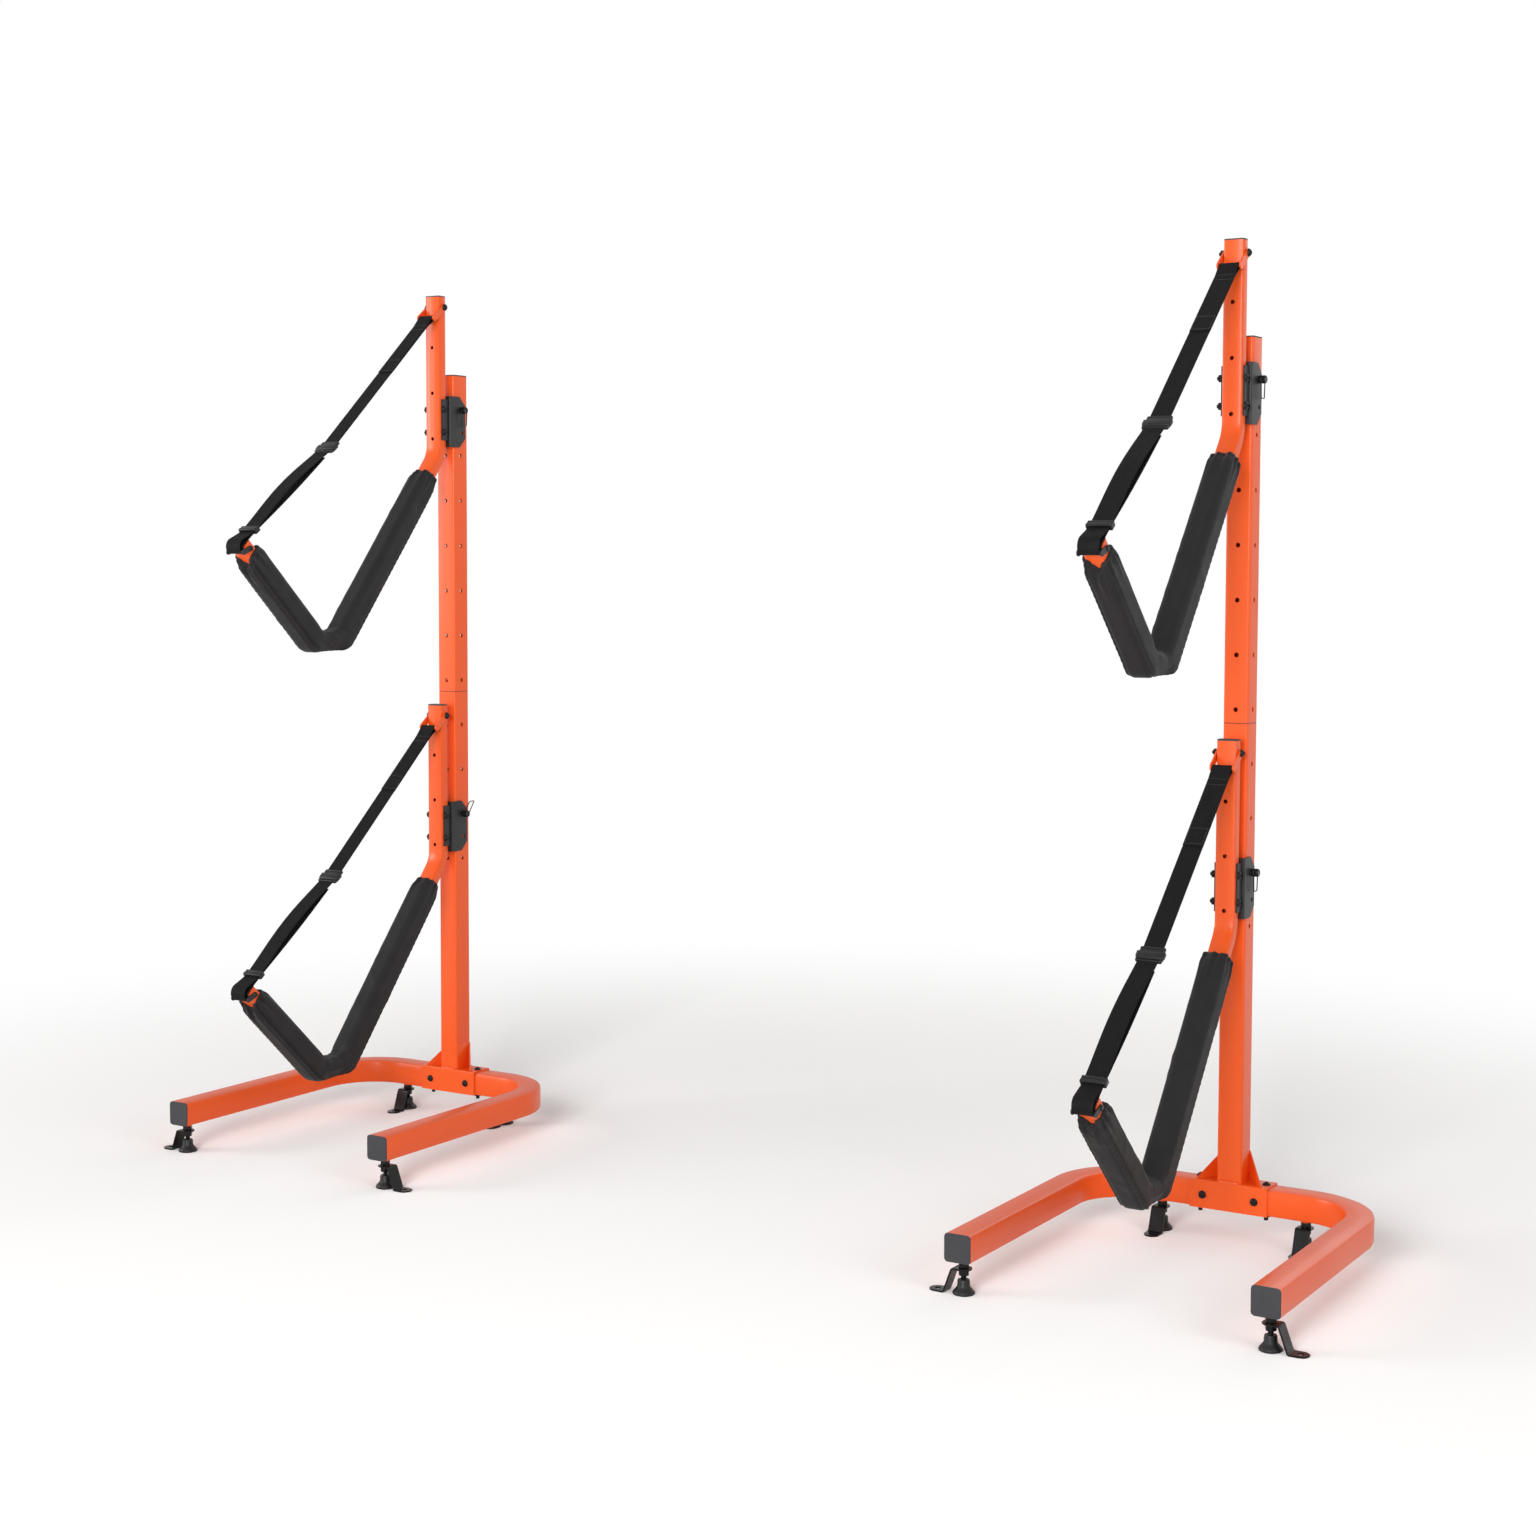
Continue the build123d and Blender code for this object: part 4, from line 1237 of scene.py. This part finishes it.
@dataclass
class Buckles:
    """Side-release buckle and tri-glide slide of one strap."""

    station: Station

    def place(self, spot: Array, way: Array) -> tuple[Array, Array]:
        """Middle and axes of a buckle.

        Args:
            spot: Its middle in the arm's plane.
            way: Direction of the webbing there.

        Returns:
            The middle in the frame, and rows for across, along and out.
        """
        way = way / np.linalg.norm(way)
        centre = self.station.lift(np.array(0.0), spot)
        axes = np.array([[1.0, 0.0, 0.0], [0.0, way[0], way[1]], [0.0, way[1], -way[0]]])
        return centre, axes

    def block(
        self, skin: Skin, spot: tuple[Array, Array], shift: tuple[float, float, float],
        size: tuple[float, float, float], radius: float,
    ) -> None:
        """Add one rounded block of a buckle, by its shift and full size in millimetres."""
        centre, axes = spot
        rounded_block(
            skin,
            centre + np.array(shift) / 1000 @ axes,
            axes,
            np.array(size) / 2000,
            radius / 1000,
        )

    def build(self) -> None:
        """Mould the buckle and the slide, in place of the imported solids."""
        bar, buckle, slide = (np.array(p) for p in (LINES.bar, LINES.buckle, LINES.slide))
        upper = (buckle - bar) / np.linalg.norm(buckle - bar)
        lower = (slide - buckle) / np.linalg.norm(slide - buckle)
        skin = Skin()
        spot = self.place(buckle, upper + lower)
        self.block(skin, spot, (0, 3.5, 0.6), (50, 17, 11), 4.0)
        self.block(skin, spot, (0, -6.5, 0.2), (43, 8, 8.6), 3.0)
        self.block(skin, spot, (0, -14.2, 0.4), (45, 4.6, 6.4), 2.2)
        for sign in (-1, 1):
            self.block(skin, spot, (sign * 20.6, -10.5, 0.2), (4.6, 12, 6.4), 2.0)
            self.block(skin, spot, (sign * 23.6, 0.5, 0.6), (5.4, 13, 8.2), 2.4)
            self.block(skin, spot, (sign * 21.6, 13.0, 0.4), (4.8, 7.0, 6.8), 2.0)
        self.block(skin, spot, (0, 15.0, 0.6), (46, 4.0, 6.8), 1.9)
        self.block(skin, spot, (0, 4.0, 5.6), (30, 9.5, 2.6), 1.2)
        spot = self.place(slide - lower * 0.0075, lower)
        self.block(skin, spot, (0, -4.6, 3.6), (46, 6.0, 4.2), 2.0)
        self.block(skin, spot, (0, 3.6, 4.4), (46, 7.8, 5.4), 2.6)
        self.block(skin, spot, (0, 0, -3.7), (46, 14.4, 2.8), 1.3)
        for sign in (-1, 1):
            self.block(skin, spot, (sign * 21.2, 0, 0.4), (3.6, 14.6, 9.4), 1.7)
        thing = skin.piece(
            f"{self.station.prefix}_buckles", ACETAL, self.station.body, 60.0
        )
        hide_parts(f"{self.station.prefix}_strap_buckles")


# Padded sleeve


@dataclass
class Sleeve:
    """Padded cloth sleeve over an arm's cradle, swollen by a cloth simulation."""

    station: Station
    seed: int
    width: float = 0.0515
    depth: float = 0.0535
    corner: float = 0.015
    start: float = 0.058
    stop: float = 0.024
    gather: float = 0.028
    rows: int = 150
    columns: int = 96
    cap: float = 0.006

    def middle(self) -> Array:
        """Middle line of the sleeve, evenly spaced, from the post's end to the tip's end."""
        knee, heel, toe, tip = (
            np.array(p) for p in (LINES.knee, LINES.heel, LINES.toe, LINES.tip)
        )
        rear = (heel - knee) / np.linalg.norm(heel - knee)
        front = (tip - toe) / np.linalg.norm(tip - toe)
        line = np.array([knee + rear * self.start, heel, toe, tip - front * self.stop])
        return even(filleted(line, LINES.bend), 0.001)

    def bends(self) -> tuple[float, float]:
        """Distances along the middle line at which it passes the heel and the toe."""
        line = self.middle()
        marks = np.concatenate([[0.0], np.cumsum(np.linalg.norm(np.diff(line, axis=0), axis=1))])
        heel, toe = (
            float(marks[np.argmin(np.linalg.norm(line - np.array(corner), axis=1))])
            for corner in (LINES.heel, LINES.toe)
        )
        return heel, toe

    def rest(self) -> tuple[Array, Array, Array]:
        """Unswollen sleeve.

        A rounded rectangle is carried along the middle line. Near both ends it shrinks to the
        gathered mouth, and the tip's mouth is drawn back in a notch on its outer face.

        Returns:
            The points as rows by columns by 3 in the arm's own frame (x, y, z), the distance
            along the line, and the loop's outward directions.
        """
        line = self.middle()
        normal = outward(line)
        steps = np.linalg.norm(np.diff(line, axis=0), axis=1)
        marks = np.concatenate([[0.0], np.cumsum(steps)])
        total = float(marks[-1])
        loop = rounded_loop(self.width, self.depth, self.corner, self.columns)
        angle = np.arctan2(loop[:, 1], loop[:, 0])
        t = np.linspace(0, 1, self.rows)
        notch = 0.024 * np.exp(-(((angle - math.pi / 2) / 0.55) ** 2))
        reach = total - notch[None] * t[:, None] ** 12
        s = t[:, None] * reach
        mouth = np.clip(np.minimum(s, reach * (1 - t[:, None])) / self.gather, 0, 1)
        ease = np.sin(mouth * math.pi / 2) ** 0.8
        wide = 0.84 + 0.16 * ease
        deep = 0.60 + 0.40 * ease
        centre = np.stack([np.interp(s, marks, line[:, k]) for k in range(2)], -1)
        out = np.stack([np.interp(s, marks, normal[:, k]) for k in range(2)], -1)
        x = loop[None, :, 0] * wide
        plane = centre + out * (loop[None, :, 1] * deep)[..., None]
        return np.concatenate([x[..., None], plane], -1), s, loop

    def close(self, points: Array, line: Array) -> Array:
        """Close both mouths with rows that step in to the middle line."""
        ends = []
        for row, spot in ((points[0], line[0]), (points[-1], line[-1])):
            target = np.array([0.0, spot[0], spot[1]])
            ends.append([target + (row - target) * k for k in (0.0, 0.4, 0.8)])
        return np.concatenate([np.array(ends[0]), points, np.array(ends[1])[::-1]])

    def swell(self, points: Array) -> Array:
        """Blow the sleeve up as cloth under pressure, with both mouths held.

        Args:
            points: Closed grid of rows by columns by 3.

        Returns:
            The same grid after the simulation, no point further than the cap from its start.
        """
        rows, columns = points.shape[:2]
        skin = Skin()
        skin.grid(points, wrap_v=True)
        mesh = bpy.data.meshes.new("sleeve_trial")
        mesh.from_pydata(points.reshape(-1, 3).tolist(), [], skin.quads[0].tolist())
        thing = bpy.data.objects.new("sleeve_trial", mesh)
        bpy.context.scene.collection.objects.link(thing)
        held = thing.vertex_groups.new(name="held")
        ids = np.arange(rows * columns).reshape(rows, columns)
        held.add(np.concatenate([ids[:6].ravel(), ids[-6:].ravel()]).tolist(), 1.0, "REPLACE")
        cloth = thing.modifiers.new("cloth", "CLOTH")
        cloth.point_cache.frame_start = 1
        cloth.point_cache.frame_end = 20
        rules = cloth.settings
        rules.quality = 5
        rules.mass = 0.25
        rules.tension_stiffness = 14
        rules.compression_stiffness = 10
        rules.shear_stiffness = 6
        rules.bending_stiffness = 0.4
        rules.use_pressure = True
        rules.uniform_pressure_force = 4.0
        rules.shrink_min = -0.035
        rules.effector_weights.gravity = 0
        rules.vertex_group_mass = "held"
        scene = bpy.context.scene
        for number in range(1, 21):
            scene.frame_set(number)
        shown = thing.evaluated_get(bpy.context.evaluated_depsgraph_get())
        result = np.zeros(rows * columns * 3, np.float32)
        shown.data.vertices.foreach_get("co", result)
        scene.frame_set(1)
        bpy.data.objects.remove(thing)
        bpy.data.meshes.remove(mesh)
        moved = result.reshape(points.shape) - points
        size = np.linalg.norm(moved, axis=-1, keepdims=True)
        return points + moved * np.minimum(1, self.cap / np.maximum(size, 1e-9))

    def crease(self, points: Array, s: Array, loop: Array) -> tuple[Array, Array]:
        """Add folds, pleats and seams to the swollen sleeve.

        Folds run across the inside of the two bends as a cosine of the distance that fades
        away from the bend. Pleats run down from both mouths as a cosine of the angle. Two
        seams lie in grooves along the outer corners.

        Args:
            points: The swollen grid.
            s: Distance along the middle line, for each point.
            loop: The section's points.

        Returns:
            The finished grid, and how much of a seam each point is, from 0 to 1.
        """
        chance = np.random.default_rng(self.seed)
        angle = np.arctan2(loop[:, 1], loop[:, 0])[None]
        total = float(s.max())
        way_u = np.gradient(points, axis=0)
        way_v = np.roll(points, -1, axis=1) - np.roll(points, 1, axis=1)
        normal = np.cross(way_v, way_u)
        normal /= np.maximum(np.linalg.norm(normal, axis=-1, keepdims=True), 1e-12)
        from_middle = points - points.mean(axis=1, keepdims=True)
        normal *= np.sign((normal * from_middle).sum(-1, keepdims=True) + 1e-12)
        inner = np.clip(-np.sin(angle), 0, 1) ** 0.7
        outer = np.clip(np.sin(angle), 0, 1) ** 0.7
        lift = np.zeros(s.shape)
        heel, toe = self.bends()
        for at in (heel, toe):
            lift += 0.0046 * outer * np.exp(-(((s - at) / 0.014) ** 2))
        lift -= 0.0140 * outer * np.exp(-(((s - (heel + toe) / 2) / 0.034) ** 4))
        for at, reach in ((heel, 0.050), (toe, 0.052)):
            for _ in range(4):
                spot = at + chance.uniform(-0.030, 0.030)
                lean = chance.uniform(-0.012, 0.012)
                wave = chance.uniform(0.013, 0.019)
                distance = s - spot - lean * angle
                fade = np.exp(-((s - at) ** 2) / reach**2)
                lift -= 0.0017 * inner * fade * np.exp(-((distance / wave) ** 2) * 3)
        for _ in range(26):
            spot, turn = chance.uniform(0.03, total - 0.03), chance.uniform(-math.pi, math.pi)
            lean, size = chance.uniform(-0.03, 0.03), chance.uniform(0.0003, 0.0011)
            apart = (angle - turn + math.pi) % math.tau - math.pi
            distance = (s - spot - lean * apart) / chance.uniform(0.005, 0.012)
            lift += size * np.exp(-(distance**2)) * np.exp(-((apart / 0.7) ** 2))
        mouth = np.minimum(s, s.max(axis=0, keepdims=True) - s)
        for count, depth in ((8, 0.0034), (15, 0.0016)):
            phase = chance.uniform(0, math.tau)
            pleats = np.cos(count * angle + phase + 0.6 * np.sin(3 * angle))
            lift += depth * pleats * np.exp(-mouth / 0.024) * np.clip(mouth / 0.004, 0.3, 1)
        lift += 0.0022 * np.exp(-(((mouth - 0.004) / 0.004) ** 2)) - 0.0012 * np.exp(
            -(((mouth - 0.012) / 0.004) ** 2)
        )
        seam = np.zeros(s.shape)
        perimeter = np.arange(self.columns) / self.columns
        for corner in (0.125, 0.375):
            gap = (perimeter - corner)[None] * 0.19
            ridge = np.exp(-((gap / 0.0022) ** 2))
            pucker = 1 + 0.4 * np.cos(s / 0.0085 * math.tau)
            lift += 0.0022 * ridge * pucker
            for side in (-0.0042, 0.0042):
                lift -= 0.0011 * np.exp(-(((gap - side) / 0.0022) ** 2))
            seam += np.exp(-(((gap + 0.0035) / 0.0018) ** 2))
        return points + normal * lift[..., None], np.clip(seam, 0, 1)

    def build(self) -> None:
        """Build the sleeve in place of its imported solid."""
        points, s, loop = self.rest()
        line = self.middle()
        closed = self.close(points, line)
        closed = self.swell(closed)
        points = closed[3:-3]
        points, seam = self.crease(points, s, loop)
        closed = self.close(points, line)
        rows = len(closed)
        world = self.station.lift(closed[..., 0], closed[..., 1:])
        distance = np.concatenate([s[:1].repeat(3, 0), s, s[-1:].repeat(3, 0)])
        round_ = np.broadcast_to(
            np.arange(self.columns) / self.columns * 0.19, (rows, self.columns)
        )
        sewn = np.concatenate([np.zeros((3, self.columns)), seam, np.zeros((3, self.columns))])
        skin = Skin()
        skin.grid(world, wrap_v=True, flat=np.stack([round_, distance], -1), seam=sewn)
        thing = skin.piece(
            f"{self.station.prefix}_sleeve", CLOTH, self.station.body, 180.0
        )
        finer = thing.modifiers.new("finer", "SUBSURF")
        finer.levels = finer.render_levels = 1
        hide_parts(f"{self.station.prefix}_pad_sleeve")


# Studio


@dataclass(frozen=True)
class Studio:
    """Pale floor, white surroundings, soft lamps and the camera."""

    camera_offset: tuple[float, float, float] = (1.55732, -4.16467, 1.26284)
    focal: float = 2379.84
    frame_size: float = 1536.0
    centre_row: float = 700.66
    yaw: float = 0.55412
    pitch: float = 0.05953
    roll: float = 0.00268

    def camera(self) -> None:
        """Set up the camera from its measured place, turn and focal length.

        Its place is given from the foot of the right post. The focal length and the row of
        the optical centre are in pixels of a square picture.
        """
        low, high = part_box("right_upper_post")
        foot = Vector(((low.x + high.x) / 2, (low.y + high.y) / 2, 0.0))
        data = bpy.data.cameras.new("camera")
        data.sensor_width = 36.0
        data.lens = 36.0 * self.focal / self.frame_size
        data.shift_y = (self.centre_row - self.frame_size / 2) / self.frame_size
        data.clip_end = 100.0
        thing = bpy.data.objects.new("camera", data)
        bpy.context.scene.collection.objects.link(thing)
        sy, cy = math.sin(self.yaw), math.cos(self.yaw)
        sp, cp = math.sin(self.pitch), math.cos(self.pitch)
        ahead = Vector((-sy * cp, cy * cp, -sp))
        right = Vector((cy, sy, 0.0))
        up = right.cross(ahead)
        sr, cr = math.sin(self.roll), math.cos(self.roll)
        turned = right * cr + up * sr
        above = up * cr - right * sr
        rows = Matrix((turned, above, -ahead)).transposed()
        thing.matrix_world = Matrix.Translation(foot + Vector(self.camera_offset)) @ rows.to_4x4()
        bpy.context.scene.camera = thing

    def lamp(
        self, name: str, spot: tuple[float, float, float], size: float, power: float
    ) -> None:
        """Add one square soft lamp that faces the stands.

        Args:
            name: Name of the lamp.
            spot: Where it stands.
            size: Length of its edge.
            power: Its power in watts.
        """
        data = bpy.data.lights.new(name, "AREA")
        data.size = size
        data.energy = power
        thing = bpy.data.objects.new(name, data)
        bpy.context.scene.collection.objects.link(thing)
        thing.location = spot
        aim = Vector((0.0, 0.0, 0.9)) - Vector(spot)
        thing.rotation_euler = aim.to_track_quat("-Z", "Y").to_euler()

    def world(self) -> None:
        """White surroundings, dimmer for diffuse light than for the eye and reflections."""
        world = bpy.data.worlds.new("surroundings")
        bpy.context.scene.world = world
        world.use_nodes = True
        tree = world.node_tree
        tree.nodes.clear()
        rays = add_node(tree, "ShaderNodeLightPath")
        strength = 0.42
        for ray, level in (("Is Glossy Ray", 0.75), ("Is Camera Ray", 1.0)):
            step = add_node(
                tree,
                "ShaderNodeMix",
                {"data_type": "FLOAT"},
                {0: rays.outputs[ray], 2: strength, 3: level},
            )
            strength = step.outputs[0]
        sky = add_node(
            tree,
            "ShaderNodeBackground",
            feeds={"Color": linear("#FFFFFF"), "Strength": strength},
        )
        add_node(tree, "ShaderNodeOutputWorld", feeds={"Surface": sky.outputs[0]})

    def floor(self) -> None:
        """Pale floor that fades into the white surroundings away from the stands."""
        mesh = bpy.data.meshes.new("floor")
        reach = 30.0
        mesh.from_pydata(
            [(-reach, -reach, 0), (reach, -reach, 0), (reach, reach, 0), (-reach, reach, 0)],
            [],
            [(0, 1, 2, 3)],
        )
        material = bpy.data.materials.new("pale_floor")
        material.use_nodes = True
        tree = material.node_tree
        tree.nodes.clear()
        paint = add_node(
            tree,
            "ShaderNodeBsdfDiffuse",
            feeds={"Color": linear("#FBFAF9"), "Roughness": 0.5},
        )
        glow = add_node(tree, "ShaderNodeEmission", feeds={"Color": linear("#FFFFFF")})
        place = add_node(tree, "ShaderNodeTexCoord")
        distance = add_node(
            tree,
            "ShaderNodeVectorMath",
            {"operation": "LENGTH"},
            {0: place.outputs["Object"]},
        )
        fade = add_node(
            tree,
            "ShaderNodeMapRange",
            {"interpolation_type": "SMOOTHSTEP"},
            {"Value": distance.outputs["Value"], "From Min": 1.2, "From Max": 3.4},
        )
        both = add_node(
            tree,
            "ShaderNodeMixShader",
            feeds={0: fade.outputs[0], 1: paint.outputs[0], 2: glow.outputs[0]},
        )
        add_node(tree, "ShaderNodeOutputMaterial", feeds={"Surface": both.outputs[0]})
        mesh.materials.append(material)
        thing = bpy.data.objects.new("floor", mesh)
        bpy.context.scene.collection.objects.link(thing)

    def build(self) -> None:
        """Build the whole studio."""
        self.camera()
        self.world()
        self.floor()
        self.lamp("key_lamp", (1.6, -6.0, 2.2), 2.4, 240.0)
        self.lamp("left_lamp", (-5.6, -3.4, 2.2), 2.4, 150.0)
        self.lamp("fill_lamp", (5.0, -1.6, 2.6), 2.2, 40.0)
        self.lamp("rear_lamp", (1.0, 5.0, 3.6), 3.6, 50.0)
        bpy.context.scene.view_settings.view_transform = "Standard"


def main() -> None:
    """Build every piece in order."""
    logging.basicConfig(level=logging.INFO, format="%(message)s")
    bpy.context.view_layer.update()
    Steelwork().dress()
    for side in Side:
        Fasteners(side).build()
        for place in Place:
            Foot(side, place).build()
    seed = 11
    for side in Side:
        for level in Level:
            station = Station.find(side, level)
            LockingPin(station).build()
            Strap(station).build()
            Buckles(station).build()
            Sleeve(station, seed).build()
            seed += 1
    Studio().build()


if __name__ == "__main__":
    main()
